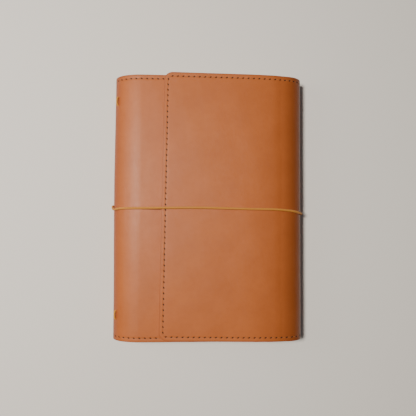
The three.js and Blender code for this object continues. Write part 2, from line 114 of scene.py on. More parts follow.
NOISE = Kind("ShaderNodeTexNoise", "Fac")
CELLS = Kind("ShaderNodeTexVoronoi", "Distance", (("feature", "DISTANCE_TO_EDGE"),))
SMOOTH_STEP = Kind("ShaderNodeMapRange", "Result", (("interpolation_type", "SMOOTHSTEP"),))
MIX = Kind("ShaderNodeMix", 2, (("data_type", "RGBA"),))
STRETCH = Kind("ShaderNodeVectorMath", 0, (("operation", "MULTIPLY"),))
POSITION = Kind("ShaderNodeTexCoord", "Object")
TRUE_NORMAL = Kind("ShaderNodeNewGeometry", "True Normal")
WRAP_MAP = Kind("ShaderNodeUVMap", "UV", (("uv_map", "wrap"),))
SEAM_MAP = Kind("ShaderNodeUVMap", "UV", (("uv_map", "seam"),))
SHARE, FIRST, SECOND = 0, 6, 7


class Wire:
    """A node's output, whose arithmetic adds Math nodes."""

    def __init__(self, shader: Shader, socket: bpy.types.NodeSocket) -> None:
        """Keep the output and the shader that it is in."""
        self.shader = shader
        self.socket = socket

    def math(self, operation: str, *others: Wire | float) -> Wire:
        """Work out an operation, by Blender's name, on this wire and others."""
        kind = Kind("ShaderNodeMath", 0, (("operation", operation),))
        return self.shader.add(kind, dict(enumerate((self, *others))))

    def __add__(self, other: Wire | float) -> Wire:
        """Add another wire or a number."""
        return self.math("ADD", other)

    def __sub__(self, other: Wire | float) -> Wire:
        """Subtract another wire or a number."""
        return self.math("SUBTRACT", other)

    def __mul__(self, other: Wire | float) -> Wire:
        """Multiply by another wire or a number."""
        return self.math("MULTIPLY", other)

    def __truediv__(self, other: Wire | float) -> Wire:
        """Divide by another wire or a number."""
        return self.math("DIVIDE", other)

    def bell(self, width: float) -> Wire:
        """A bell curve of this wire that falls to about a third at a width."""
        scaled = self / width
        return (scaled * scaled * -1.0).math("EXPONENT")

    def ramp(self, low: float, high: float) -> Wire:
        """Rise smoothly from 0 at one value to 1 at another."""
        return self.shader.add(SMOOTH_STEP, {"Value": self, "From Min": low, "From Max": high})


class Shader:
    """A material's node tree."""

    def __init__(self, name: str) -> None:
        """Start a new material.

        Args:
            name: The material's name.
        """
        self.material = bpy.data.materials.new(name)
        self.material.use_nodes = True
        self.tree = self.material.node_tree
        self.surface = self.tree.nodes["Principled BSDF"]

    def add(self, kind: Kind, inputs: dict[int | str, object] | None = None) -> Wire:
        """Add a node with its settings and links.

        Args:
            kind: The kind of node.
            inputs: A wire, number, vector or hex colour for each input, by name or number.

        Returns:
            The kind's output.
        """
        node = self.tree.nodes.new(kind.type)
        for key, value in kind.settings:
            setattr(node, key, value)
        for key, value in (inputs or {}).items():
            self.feed(node.inputs[key], value)
        return Wire(self, node.outputs[kind.output])

    def feed(self, socket: bpy.types.NodeSocket, value: object) -> None:
        """Link a wire to an input, or set it to a number, vector or hex colour.

        Args:
            socket: The input.
            value: What it gets.
        """
        if isinstance(value, Wire):
            self.tree.links.new(value.socket, socket)
        else:
            socket.default_value = linear(value) if isinstance(value, str) else value

    def axes(self, vector: Wire) -> tuple[Wire, Wire, Wire]:
        """A vector's parts, turned from metres to millimetres.

        Args:
            vector: The vector, in metres.

        Returns:
            x, y and z, in millimetres.
        """
        node = self.add(Kind("ShaderNodeSeparateXYZ"), {"Vector": vector}).socket.node
        x, y, z = (Wire(self, node.outputs[i]) * 1000.0 for i in range(3))
        return x, y, z

    def finish(self, colour: Wire | str, roughness: Wire | float, height: Wire | None = None,
               depth: float = 0.0, **principled: float) -> bpy.types.Material:
        """Set the surface and return the material.

        Args:
            colour: The base colour.
            roughness: The roughness.
            height: Bump height, from 0 to 1.
            depth: How far the bump rises at 1, in millimetres.
            principled: Numbers for other inputs of the surface, with _ for spaces.

        Returns:
            The material.
        """
        values = {"Base Color": colour, "Roughness": roughness}
        values |= {key.replace("_", " "): value for key, value in principled.items()}
        for key, value in values.items():
            self.feed(self.surface.inputs[key], value)
        if height is not None:
            bump = self.add(Kind("ShaderNodeBump"), {"Distance": depth * MM, "Height": height})
            self.feed(self.surface.inputs["Normal"], bump)
        return self.material


# --- Sizes ---


@dataclass(frozen=True)
class Stitching:
    """The saddle stitch along the cover's edges, in millimetres."""

    inset: float = 3.4
    pitch: float = 4.5
    thread_radius: float = 0.28
    thread_depth: float = 0.26
    valley_depth: float = 0.1
    valley_width: float = 0.75
    length_share: float = 0.62
    lean: float = 0.3


@dataclass(frozen=True)
class Groove:
    """The shallow groove under the back that takes the closure cord, in millimetres."""

    depth: float = 2.25
    centre: float = -3.0
    reach: float = 25.0
    fade: float = 9.0


@dataclass(frozen=True)
class Sheets:
    """Depths under the wrap's outer line, in millimetres."""

    leather: float = 1.48
    lining_top: float = 1.52
    lining_bottom: float = 2.4
    corner_radius: float = 7.0
    edge_round: float = 0.4
    flap_twist: float = 0.0131
    roll: float = 1.4
    spine_swell: float = 1.0
    fore_swell: float = 0.5


STITCHING = Stitching()
GROOVE = Groove()
SHEETS = Sheets()


# --- Leather, thread, card and cord finishes ---


@dataclass(frozen=True)
class NeedleHoles:
    """The needle holes of the seam, slanted ovals, and the pull of the thread round them."""

    half_length: float = 0.95
    half_width: float = 0.62
    line_width: float = 0.85

    def masks(self, shader: Shader) -> tuple[Wire, Wire]:
        """Work out the two masks.

        Args:
            shader: The material that they are drawn in, whose mesh has the seam map.

        Returns:
            A mask of the holes, and a mask of the pressed line between them.
        """
        along, inwards, _ = shader.axes(shader.add(SEAM_MAP))
        cycle = (along / STITCHING.pitch + 0.5).math("FRACT") - 0.5
        beside = cycle * STITCHING.pitch
        off_line = inwards - STITCHING.inset
        slant = off_line - beside * STITCHING.lean
        run, rise = beside / self.half_length, slant / self.half_width
        near = (run * run + rise * rise).math("SQRT")
        return near.ramp(1.15, 0.6), off_line.bell(self.line_width)


@dataclass(frozen=True)
class TannedLeather:
    """Smooth vegetable-tanned leather: fine grain, soft clouds of colour, darker cut edges.

    Tanning and glazing leave shallow pores and creases; the two bends are darkened with painted shade.
    """

    name: str = "vegetable_tanned_leather"
    tones: tuple[str, str] = ("#b1602b", "#b96630")
    mottle: str = "#a45322"
    pore_size: float = 0.62
    crease_size: float = 1.7
    shine: float = 0.39

    def make(self) -> bpy.types.Material:
        """Make the material.

        Returns:
            The material.
        """
        shader = Shader(self.name)
        wrap = shader.add(WRAP_MAP)
        hole, line = NeedleHoles().masks(shader)
        _, inwards, _ = shader.axes(shader.add(SEAM_MAP))
        clouds = shader.add(NOISE, {"Vector": wrap, "Scale": across(26.0), "Detail": 4.0})
        mottle = shader.add(NOISE, {"Vector": wrap, "Scale": across(5.0), "Detail": 5.0})
        pores = shader.add(CELLS, {"Vector": wrap, "Scale": across(self.pore_size)})
        pores = pores.ramp(0.0, 0.16)
        drawn_out = shader.add(STRETCH, {0: wrap, 1: (1.0, 0.6, 1.0)})
        creases = shader.add(CELLS, {"Vector": drawn_out, "Scale": across(self.crease_size)})
        creases = creases.ramp(0.0, 0.1)
        length, _, _ = shader.axes(wrap)
        # Painted shade: the fore-edge, its crest and the spine side are darkened where the bends turn
        # away from the light.
        painted_shade_fore_edge = length.ramp(137.0, 98.0) * length.ramp(60.0, 84.0)
        painted_shade_fore_crest = length.ramp(112.0, 99.0) * length.ramp(70.0, 86.0)
        painted_shade_spine_side = length.ramp(-103.0, -90.0) * length.ramp(-66.0, -82.0)
        shades = (
            (mottle.ramp(0.4, 0.75) * 0.2, self.mottle),
            (painted_shade_fore_edge * 0.26, "#6d2f08"),
            (painted_shade_fore_crest * 0.35, "#4a1a03"),
            (painted_shade_spine_side * 0.6, "#83361a"),
            ((pores * -1.0 + 1.0) * 0.12, "#84400f"),
            (inwards.ramp(1.6, 0.1) * 0.5, "#8f4412"),
            (line * 0.06, "#8f4715"),
            # Painted shade: the needle holes are filled with near-black, the shade inside holes that
            # the mesh does not cut.
            (hole, "#200b03"),
        )
        first, second = self.tones
        tone = shader.add(MIX, {SHARE: clouds.ramp(0.25, 0.75), FIRST: first, SECOND: second})
        for share, shade in shades:
            tone = shader.add(MIX, {SHARE: share, FIRST: tone, SECOND: shade})
        height = pores * 0.22 + creases * 0.10 + mottle * 0.3 - hole * 1.2
        rough = mottle * 0.1 + 0.36 + hole * 0.3
        return shader.finish(tone, rough, height, 0.11, Specular_IOR_Level=self.shine)


@dataclass(frozen=True)
class BurnishedEdge:
    """The cut edge of leather: fibres rubbed dark and smooth, in layers along the cut."""

    name: str = "burnished_leather_edge"
    tones: tuple[str, str] = ("#6b3517", "#8f5227")
    stain: str = "#4c220d"

    def make(self) -> bpy.types.Material:
        """Make the material.

        Returns:
            The material.
        """
        shader = Shader(self.name)
        wrap = shader.add(WRAP_MAP)
        fibres = shader.add(NOISE, {"Vector": wrap, "Scale": across(0.5), "Detail": 4.0})
        stains = shader.add(NOISE, {"Vector": wrap, "Scale": across(7.0), "Detail": 3.0})
        tone = shader.add(MIX, {SHARE: fibres, FIRST: self.tones[0], SECOND: self.tones[1]})
        stained = stains.ramp(0.4, 0.7) * 0.5
        tone = shader.add(MIX, {SHARE: stained, FIRST: tone, SECOND: self.stain})
        return shader.finish(tone, 0.5, fibres, 0.12)


@dataclass(frozen=True)
class NappedLining:
    """The lining's napped side: short matted fibres, with brushed patches."""

    name: str = "napped_leather_lining"
    tones: tuple[str, str] = ("#80502f", "#a87a52")
    brushed: str = "#74452a"

    def make(self) -> bpy.types.Material:
        """Make the material.

        Returns:
            The material.
        """
        shader = Shader(self.name)
        wrap = shader.add(WRAP_MAP)
        hole, line = NeedleHoles().masks(shader)
        drawn_out = shader.add(STRETCH, {0: wrap, 1: (1.0, 2.2, 1.0)})
        fibres = shader.add(NOISE, {"Vector": drawn_out, "Scale": across(0.45), "Detail": 5.0})
        patches = shader.add(NOISE, {"Vector": wrap, "Scale": across(11.0), "Detail": 4.0})
        tone = shader.add(MIX, {SHARE: fibres, FIRST: self.tones[0], SECOND: self.tones[1]})
        # Painted shade: the needle holes are filled with near-black, the shade inside holes that the
        # mesh does not cut.
        shades = ((patches.ramp(0.4, 0.65) * 0.45, self.brushed), (line * 0.2, "#5e351c"),
                  (hole, "#241006"))
        for share, shade in shades:
            tone = shader.add(MIX, {SHARE: share, FIRST: tone, SECOND: shade})
        return shader.finish(tone, 0.92, fibres - hole, 0.2, Sheen_Weight=0.25,
                             Sheen_Roughness=0.5)


@dataclass(frozen=True)
class WaxedThread:
    """Waxed linen thread: two plies twisted, a tone darker than the leather, with painted shade in the
    grooves between the plies.
    """

    name: str = "waxed_linen_thread"
    tones: tuple[str, str] = ("#a25a26", "#c07a40")
    hollow: str = "#8a4a1e"

    def make(self) -> bpy.types.Material:
        """Make the material.

        Returns:
            The material.
        """
        shader = Shader(self.name)
        along, around, _ = shader.axes(shader.add(WRAP_MAP))
        ply = ((along * 7.5 + around * 6.0).math("SINE") + 1.0) * 0.5
        place = shader.add(POSITION)
        fibres = shader.add(NOISE, {"Vector": place, "Scale": across(0.25), "Detail": 3.0})
        # Painted shade: the two tones follow the ply ridges, darker in the grooves between plies.
        tone = shader.add(MIX, {SHARE: ply, FIRST: self.tones[0], SECOND: self.tones[1]})
        tone = shader.add(MIX, {SHARE: fibres * 0.25, FIRST: tone, SECOND: self.hollow})
        return shader.finish(tone, 0.55, ply * 0.8 + fibres * 0.2, 0.1)


@dataclass(frozen=True)
class BraidedSheath:
    """An elastic cord's braided sheath: two sets of strands crossing round it, with painted shade in
    the gaps between strands.
    """

    name: str
    dark: str
    light: str
    strands_round: float = 4.0
    turns_along: float = 5.2

    def make(self) -> bpy.types.Material:
        """Make the material.

        Returns:
            The material.
        """
        shader = Shader(self.name)
        along, around, _ = shader.axes(shader.add(WRAP_MAP))
        turns = around * (2.0 * math.pi)
        over = along * self.turns_along + turns * self.strands_round
        under = along * self.turns_along - turns * self.strands_round
        over = (over.math("SINE") + 1.0) * 0.5
        under = (under.math("SINE") + 1.0) * 0.5
        braid = over.math("MAXIMUM", under)
        place = shader.add(POSITION)
        fibres = shader.add(NOISE, {"Vector": place, "Scale": across(0.3), "Detail": 3.0})
        # Painted shade: raised strand tops take the lighter colour, the gaps between strands the darker
        # one.
        lit_strand_share = braid.ramp(0.25, 0.95)
        tone = shader.add(MIX, {SHARE: lit_strand_share, FIRST: self.dark, SECOND: self.light})
        worn = fibres.ramp(0.4, 0.8) * 0.35
        tone = shader.add(MIX, {SHARE: worn, FIRST: tone, SECOND: self.dark})
        return shader.finish(tone, 0.62, braid * 0.85 + fibres * 0.15, 0.16,
                             Sheen_Weight=0.15, Sheen_Roughness=0.4)


@dataclass(frozen=True)
class KraftCard:
    """Uncoated kraft card, pressed from long and short fibres, with darker specks."""

    name: str = "kraft_card"
    tones: tuple[str, str] = ("#a57a4b", "#c49c6b")
    speck: str = "#6d4a28"

    def make(self) -> bpy.types.Material:
        """Make the material.

        Returns:
            The material.
        """
        shader = Shader(self.name)
        place = shader.add(POSITION)
        drawn_out = shader.add(STRETCH, {0: place, 1: (3.0, 1.0, 3.0)})
        fibres = shader.add(NOISE, {"Vector": drawn_out, "Scale": across(1.2), "Detail": 6.0})
        specks = shader.add(NOISE, {"Vector": place, "Scale": across(0.5), "Detail": 2.0})
        tone = shader.add(MIX, {SHARE: fibres, FIRST: self.tones[0], SECOND: self.tones[1]})
        specked = specks.ramp(0.68, 0.74) * 0.4
        tone = shader.add(MIX, {SHARE: specked, FIRST: tone, SECOND: self.speck})
        return shader.finish(tone, 0.9, fibres, 0.05)


@dataclass(frozen=True)
class CreamPaper:
    """Cream paper: wherever the block is cut, the gaps between sheets show as fine lines of painted
    shade.
    """

    name: str = "cream_paper"
    tones: tuple[str, str] = ("#ece2cd", "#f6efe0")
    sheet_gap_shade: str = "#b9a684"

    def make(self) -> bpy.types.Material:
        """Make the material.

        Returns:
            The material.
        """
        shader = Shader(self.name)
        place = shader.add(POSITION)
        _, _, level = shader.axes(place)
        drawn_out = shader.add(STRETCH, {0: place, 1: (0.2, 0.2, 1.0)})
        wander = shader.add(NOISE, {"Vector": drawn_out, "Scale": across(1.0), "Detail": 2.0})
        sheets = ((level * 42.0 + wander * 6.0).math("SINE") + 1.0) * 0.5
        facing = shader.add(Kind("ShaderNodeSeparateXYZ", "Z"), {"Vector": shader.add(TRUE_NORMAL)})
        side = facing.math("ABSOLUTE").ramp(0.9, 0.5)
        lines = (sheets * -1.0 + 1.0) * side
        pulp = shader.add(NOISE, {"Vector": place, "Scale": across(0.8), "Detail": 4.0})
        tone = shader.add(MIX, {SHARE: pulp, FIRST: self.tones[0], SECOND: self.tones[1]})
        # Painted shade: the lines between sheets on the cut sides are darkened in colour.
        tone = shader.add(MIX, {SHARE: lines * 0.42, FIRST: tone, SECOND: self.sheet_gap_shade})
        return shader.finish(tone, 0.93, lines * -0.8 + pulp * 0.2, 0.05)


@dataclass(frozen=True)
class DrawnWire:
    """Bright drawn steel wire, with faint lines along it from the die."""

    name: str = "drawn_steel_wire"
    tones: tuple[str, str] = ("#a9adb2", "#d4d7da")

    def make(self) -> bpy.types.Material:
        """Make the material.

        Returns:
            The material.
        """
        shader = Shader(self.name)
        drawn_out = shader.add(STRETCH, {0: shader.add(POSITION), 1: (8.0, 1.0, 8.0)})
        lines = shader.add(NOISE, {"Vector": drawn_out, "Scale": across(0.6), "Detail": 3.0})
        tone = shader.add(MIX, {SHARE: lines, FIRST: self.tones[0], SECOND: self.tones[1]})
        return shader.finish(tone, lines * 0.2 + 0.22, Metallic=1.0)


class Finish(Enum):
    """The materials, by the part of the cover that wears them."""

    LEATHER = "leather"
    EDGE = "edge"
    LINING = "lining"
    THREAD = "thread"
    CLOSURE = "closure"
    BINDING = "binding"
    CARD = "card"
    PAPER = "paper"
    STEEL = "steel"


def make_finishes() -> dict[Finish, bpy.types.Material]:
    """Make every material once.

    Returns:
        The materials by finish.
    """
    recipes = {
        Finish.LEATHER: TannedLeather(),
        Finish.EDGE: BurnishedEdge(),
        Finish.LINING: NappedLining(),
        Finish.THREAD: WaxedThread(),
        # The darker colour of each sheath is painted shade in the braid's gaps and the tone of its worn
        # fibres.
        Finish.CLOSURE: BraidedSheath("golden_elastic_sheath", "#97560b", "#da9432"),
        Finish.BINDING: BraidedSheath("tan_elastic_sheath", "#a5620f", "#e2a040"),
        Finish.CARD: KraftCard(),
        Finish.PAPER: CreamPaper(),
        Finish.STEEL: DrawnWire(),
    }
    return {finish: recipe.make() for finish, recipe in recipes.items()}


# --- The wrap ---


@dataclass(frozen=True)
class Side:
    """One side of the wrap: where its bends start, and each bend's radius and end angle."""

    sign: float
    edge: float
    arcs: tuple[tuple[float, float], ...]

    def length_to(self, angle: float) -> float:
        """Signed length along the wrap at which this side has turned through an angle.

        Args:
            angle: How far the side has turned, in degrees.

        Returns:
            The length.
        """
        start, total = 0.0, self.edge
        for radius, end in self.arcs:
            total += radius * math.radians(min(max(angle - start, 0.0), end - start))
            start = end
        return self.sign * total


def climb(arcs: Sequence[tuple[float, float]], start: float = 0.0) -> float:
    """How far arcs climb from a start angle.

    Args:
        arcs: Radius and end angle of each arc, in order.
        start: The angle the first arc starts at, in degrees.

    Returns:
        The climb, in millimetres.
    """
    total = 0.0
    for radius, end in arcs:
        total += radius * (math.cos(math.radians(start)) - math.cos(math.radians(end)))
        start = end
    return total


def reach(arcs: Sequence[tuple[float, float]], start: float = 0.0) -> float:
    """How far arcs run outwards from a start angle.

    Args:
        arcs: Radius and end angle of each arc, in order.
        start: The angle the first arc starts at, in degrees.

    Returns:
        The run, in millimetres.
    """
    total = 0.0
    for radius, end in arcs:
        total += radius * (math.sin(math.radians(end)) - math.sin(math.radians(start)))
        start = end
    return total


@dataclass
class Wrap:
    """The cover's section line, from the front panel's edge round to the flap's edge.

    Lengths run along the outer line from the middle of the back, towards the fore-edge.
    """

    half_width: float
    half_height: float
    front_top: float
    flap_edge_z: float
    flap_setback: float = 41.0
    front_setback: float = 13.0
    front_lean: float = 2.8
    flap_lean: float = 2.2
    spine_radii: tuple[float, float, float] = (9.0, 17.0, 36.0)
    fore_radii: tuple[float, float, float] = (7.0, 15.0, 50.0)
    spine: Side = field(init=False)
    fore: Side = field(init=False)
    front_edge: float = field(init=False)
    flap_edge: float = field(init=False)

    def __post_init__(self) -> None:
        """Solve the middle radius of each side, as the CAD model does, and the free edges."""
        front_end, flap_end = 180.0 + self.front_lean, 180.0 - self.flap_lean
        low, shoulder, top = self.spine_radii
        upper = [(shoulder, 160.0), (top, front_end)]
        rise = self.front_top - climb([(low, 50.0)]) - climb(upper, 130.0)
        middle = rise / climb([(1.0, 130.0)], 50.0)
        arcs = ((low, 50.0), (middle, 90.0), (middle, 130.0), *upper)
        self.spine = Side(-1.0, self.half_width - reach(arcs[:2]), tuple(arcs))
        low, shoulder, top = self.fore_radii
        upper = [(shoulder, 160.0), (top, flap_end)]
        run = self.half_width + reach(upper, 120.0) + self.half_width - self.flap_setback
        start_z = self.flap_edge_z - run * math.tan(math.radians(self.flap_lean))
        rise = start_z - climb([(low, 60.0)]) - climb(upper, 120.0)
        middle = rise / climb([(1.0, 120.0)], 60.0)
        arcs = ((low, 60.0), (middle, 90.0), (middle, 120.0), *upper)
        self.fore = Side(1.0, self.half_width - reach(arcs[:2]), tuple(arcs))
        front_x = self.half_width - self.front_setback
        flap_x = self.flap_setback - self.half_width
        self.front_edge = self.length_to_x(self.spine, self.front_lean, front_x)
        self.flap_edge = self.length_to_x(self.fore, self.flap_lean, flap_x)

    def length_to_x(self, side: Side, lean: float, x: float) -> float:
        """Length at which a side's straight end reaches an x.

        Args:
            side: The side of the wrap.
            lean: The straight end's slope, in degrees.
            x: Where it ends, in x.

        Returns:
            The length.
        """
        start = side.length_to(180.0 + self.front_lean)
        from_x = float(self.line(np.array([start]))[0][0])
        return start + side.sign * abs(x - from_x) / math.cos(math.radians(lean))

    def line(self, length: Array) -> tuple[Array, Array, Array, Array]:
        """The outer line: arcs walked one after another on each side, then straight on.

        Args:
            length: Lengths along the wrap.

        Returns:
            x, z, and the inward normal's x and z.
        """
        out = []
        for side in (self.spine, self.fore):
            left = np.abs(length) - side.edge
            x, z, angle = side.edge + np.minimum(left, 0.0), np.zeros_like(left), np.zeros_like(left)
            used = start = 0.0
            for radius, degrees in side.arcs:
                end = math.radians(degrees)
                turn = np.clip(left - used, 0.0, radius * (end - start)) / radius
                x = x + radius * (np.sin(start + turn) - math.sin(start))
                z = z + radius * (math.cos(start) - np.cos(start + turn))
                angle = angle + turn
                used += radius * (end - start)
                start = end
            beyond = np.maximum(left - used, 0.0)
            x, z = x + beyond * np.cos(angle), z + beyond * np.sin(angle)
            out.append((side.sign * x, z, -side.sign * np.sin(angle), np.cos(angle)))
        on_spine = length < 0
        return tuple(np.where(on_spine, s, f) for s, f in zip(*out))

    def groove(self, length: Array, y: Array) -> Array:
        """Depth of the groove: a raised cosine across it, fading out round the bends.

        Args:
            length: Lengths along the wrap.
            y: Heights.

        Returns:
            The groove's depth.
        """
        off = np.clip(np.abs(y - GROOVE.centre) / GROOVE.reach, 0.0, 1.0)
        edge = np.where(length < 0, self.spine.edge, self.fore.edge)
        past = np.clip((np.abs(length) - edge) / GROOVE.fade, 0.0, 1.0)
        return GROOVE.depth * (1 + np.cos(np.pi * off)) * (1 + np.cos(np.pi * past)) / 4

    def roll(self, length: Array) -> Array:
        """How far the flap rolls down towards the fore-edge: a parabola, then a smooth return.

        Args:
            length: Lengths along the wrap.

        Returns:
            The roll's depth.
        """
        rise_from, rise_to = self.fore.length_to(177.8) + 26.0, self.fore.length_to(170.0)
        fall_to = self.fore.length_to(95.0)
        rising = np.clip((rise_from - length) / (rise_from - rise_to), 0.0, 1.0)
        falling = np.clip((length - fall_to) / (rise_to - fall_to), 0.0, 1.0)
        return SHEETS.roll * rising * rising * falling * falling * (3 - 2 * falling)

    def swell(self, length: Array, y: Array) -> Array:
        """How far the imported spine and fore-edge bulge: a bell round each, fullest mid-height.

        Args:
            length: Lengths along the wrap.
            y: Heights.

        Returns:
            The swelling's height.
        """
        fullness = 0.65 + 0.85 * np.exp(-(((y - 15.0) / 70.0) ** 2))
        spine = np.exp(-(((length - self.spine.length_to(90.0)) / 11.0) ** 2))
        fore = np.exp(-(((length - self.fore.length_to(90.0)) / 9.0) ** 2))
        return SHEETS.spine_swell * fullness * spine + SHEETS.fore_swell * fore

    def twisted(self, length: Array, y: Array) -> tuple[Array, Array]:
        """Lay the flap over a little askew, as a hand does.

        Past the middle of the fore-edge, a point moves up in proportion to its distance from
        there, and along the wrap in proportion to its height, which grows in over the bend.

        Args:
            length: Lengths along the wrap.
            y: Heights.

        Returns:
            Lengths and heights after the twist.
        """
        past = np.maximum(length - self.fore.length_to(90.0), 0.0)
        grown = np.clip(past / 30.0, 0.0, 1.0)
        grown = grown * grown * (3 - 2 * grown)
        return length - SHEETS.flap_twist * y * grown, y + SHEETS.flap_twist * past

    def place(self, length: Array, y: Array, depth: Array | float) -> Array:
        """Points at lengths along the wrap, heights, and depths under the outer line.

        Args:
            length: Lengths along the wrap.
            y: Heights.
            depth: Depths under the outer line.

        Returns:
            The points, in millimetres.
        """
        length, y = self.twisted(length, y)
        x, z, nx, nz = self.line(length)
        inwards = depth + self.groove(length, y) + self.roll(length) - self.swell(length, y)
        return np.stack([x + nx * inwards, y, z + nz * inwards], -1)


# --- The seam ---


@dataclass(frozen=True)
class Seam:
    """The stitch line of one half of the cover: along its top edge, round its free edge, back.

    Its own coordinate runs from 0 over the top edge at the middle of the back.
    """

    sign: float
    free_edge: float
    half_height: float

    @property
    def corner(self) -> float:
        """Radius of the line's rounded corners."""
        return SHEETS.corner_radius - STITCHING.inset

    @property
    def straight(self) -> float:
        """Length of the top edge before the corner."""
        return self.sign * self.free_edge - SHEETS.corner_radius

    @property
    def quarter(self) -> float:
        """Length of one corner."""
        return self.corner * math.pi / 2

    @property
    def side(self) -> float:
        """Length of the free edge between its corners."""
        return 2 * (self.half_height - SHEETS.corner_radius)

    @property
    def total(self) -> float:
        """Length of the whole line."""
        return 2 * self.straight + 2 * self.quarter + self.side

    def place(self, along: Array) -> tuple[Array, Array]:
        """Points of the line, as lengths along the wrap and heights.

        Args:
            along: Coordinates along the stitch line.

        Returns:
            Lengths along the wrap, and heights.
        """
        mirrored = along > self.total / 2
        near = np.where(mirrored, self.total - along, along)
        first = np.clip(near, None, self.straight)
        turn = np.clip((near - self.straight) / self.corner, 0.0, math.pi / 2)
        down = np.clip(near - self.straight - self.quarter, 0.0, None)
        length = first + self.corner * np.sin(turn)
        top = self.half_height - SHEETS.corner_radius
        y = top + self.corner * np.cos(turn) - down
        return self.sign * length, np.where(mirrored, -y, y)

    def measure(self, length: Array, y: Array) -> tuple[Array, Array]:
        """For points of the cover, the nearest stitch line's coordinate and the cut's distance.

        Args:
            length: Lengths along the wrap.
            y: Heights.

        Returns:
            Coordinates along the stitch line, and distances from the cut.
        """
        radius = SHEETS.corner_radius
        dx = self.sign * (self.free_edge - length)
        dy = self.half_height - np.abs(y)
        in_x, in_y = np.maximum(radius - dx, 0.0), np.maximum(radius - dy, 0.0)
        inside = radius - np.hypot(in_x, in_y)
        inwards = np.where((dx < radius) & (dy < radius), inside, np.minimum(dx, dy))
        turn = np.arctan2(in_x, in_y)
        on_edge = (dx < dy) & (dx < 4 * radius)
        on_corner = (dx < radius) & (dy < radius)
        near = np.where(on_edge, self.straight + self.quarter + dy - radius, self.sign * length)
        near = np.where(on_corner, self.straight + self.corner * turn, near)
        lower = self.total - near
        return np.where(y < 0, lower, near), inwards


# --- Meshes ---


@dataclass
class Patches:
    """Parts of one mesh: points, four-sided faces, and each face corner's normal and maps."""

    points: list[Array] = field(default_factory=list)
    faces: list[Array] = field(default_factory=list)
    normals: list[Array] = field(default_factory=list)
    wrap: list[Array] = field(default_factory=list)
    seam: list[Array] = field(default_factory=list)
    slots: list[Array] = field(default_factory=list)
    count: int = 0

    def add_points(self, points: Array) -> int:
        """Add points, in millimetres, and return the first one's number.

        Args:
            points: The points, in millimetres.

        Returns:
            The first point's number.
        """
        first = self.count
        flat = points.reshape(-1, 3)
        self.points.append(flat)
        self.count += len(flat)
        return first

    def add_faces(self, faces: Array, normals: Array, wrap: Array, seam: Array, slot: int) -> None:
        """Add faces, with a normal and two map points for each of their corners.

        Args:
            faces: Four point numbers a face.
            normals: A normal for each face corner.
            wrap: The wrap map's point for each face corner.
            seam: The seam map's point for each face corner.
            slot: Number of the material slot.
        """
        self.faces.append(faces.reshape(-1, 4))
        self.normals.append(normals.reshape(-1, 3))
        self.wrap.append(wrap.reshape(-1, 2))
        self.seam.append(seam.reshape(-1, 2))
        self.slots.append(np.full(len(faces.reshape(-1, 4)), slot))

    def build(self, name: str, materials: Sequence[bpy.types.Material]) -> bpy.types.Object:
        """Make the object, smooth, with its normals, maps and materials.

        Args:
            name: The name.
            materials: The materials, by slot.

        Returns:
            The object.
        """
        faces = np.concatenate(self.faces)
        mesh = bpy.data.meshes.new(name)
        mesh.vertices.add(self.count)
        mesh.vertices.foreach_set("co", (np.concatenate(self.points) * MM).ravel())
        mesh.loops.add(faces.size)
        mesh.loops.foreach_set("vertex_index", faces.ravel())
        mesh.polygons.add(len(faces))
        mesh.polygons.foreach_set("loop_start", np.arange(0, faces.size, 4))
        mesh.polygons.foreach_set("material_index", np.concatenate(self.slots))
        for map_name, parts in (("wrap", self.wrap), ("seam", self.seam)):
            layer = mesh.uv_layers.new(name=map_name)
            layer.uv.foreach_set("vector", (np.concatenate(parts) * MM).ravel())
        for material in materials:
            mesh.materials.append(material)
        mesh.update(calc_edges=True)
        normals = np.concatenate(self.normals)
        normals = normals / np.maximum(np.linalg.norm(normals, axis=1, keepdims=True), 1e-9)
        mesh.shade_smooth()
        mesh.normals_split_custom_set(normals)
        mesh.validate()
        obj = bpy.data.objects.new(name, mesh)
        bpy.context.scene.collection.objects.link(obj)
        return obj


def grid_faces(rows: int, columns: int, first: int = 0, turned: bool = False) -> Array:
    """Faces of a grid whose points run column by column within each row.

    Args:
        rows: How many rows of points.
        columns: How many points a row has.
        first: Number of the first point.
        turned: Whether the faces look the other way.

    Returns:
        Four point numbers a face.
    """
    r, c = np.meshgrid(np.arange(rows - 1), np.arange(columns - 1), indexing="ij")
    corner = first + r * columns + c
    faces = np.stack([corner, corner + columns, corner + columns + 1, corner + 1], -1)
    return (faces[..., ::-1] if turned else faces).reshape(-1, 4)


def slopes(place: Callable[[Array, Array], Array], u: Array, v: Array) -> tuple[Array, Array]:
    """How a surface's points move with each of its two coordinates.

    Args:
        place: The surface, as a function of its two coordinates.
        u: First coordinates.
        v: Second coordinates.

    Returns:
        The two derivatives.
    """
    step = 0.05
    du = place(u + step, v) - place(u - step, v)
    dv = place(u, v + step) - place(u, v - step)
    return du, dv


def ring_cap(first: Array) -> Array:
    """Three four-sided faces that close an eight-sided ring."""
    quads = np.array([[0, 1, 2, 7], [7, 2, 3, 6], [6, 3, 4, 5]])
    return first.reshape(-1, 1, 1) + quads


# --- Stretches of the cover ---


@dataclass(frozen=True)
class Stretch:
    """One piece of the wrap, between two lengths: its body, or the two bodies of the hinge it crosses,
    and what it replaces.
    """

    name: str
    start: float
    end: float
    bodies: tuple[str, ...]
    node: str | None
    free_edge: float | None = None


class Layer(Enum):
    """The cover's two sheets."""

    OUTER = "outer"
    LINING = "lining"


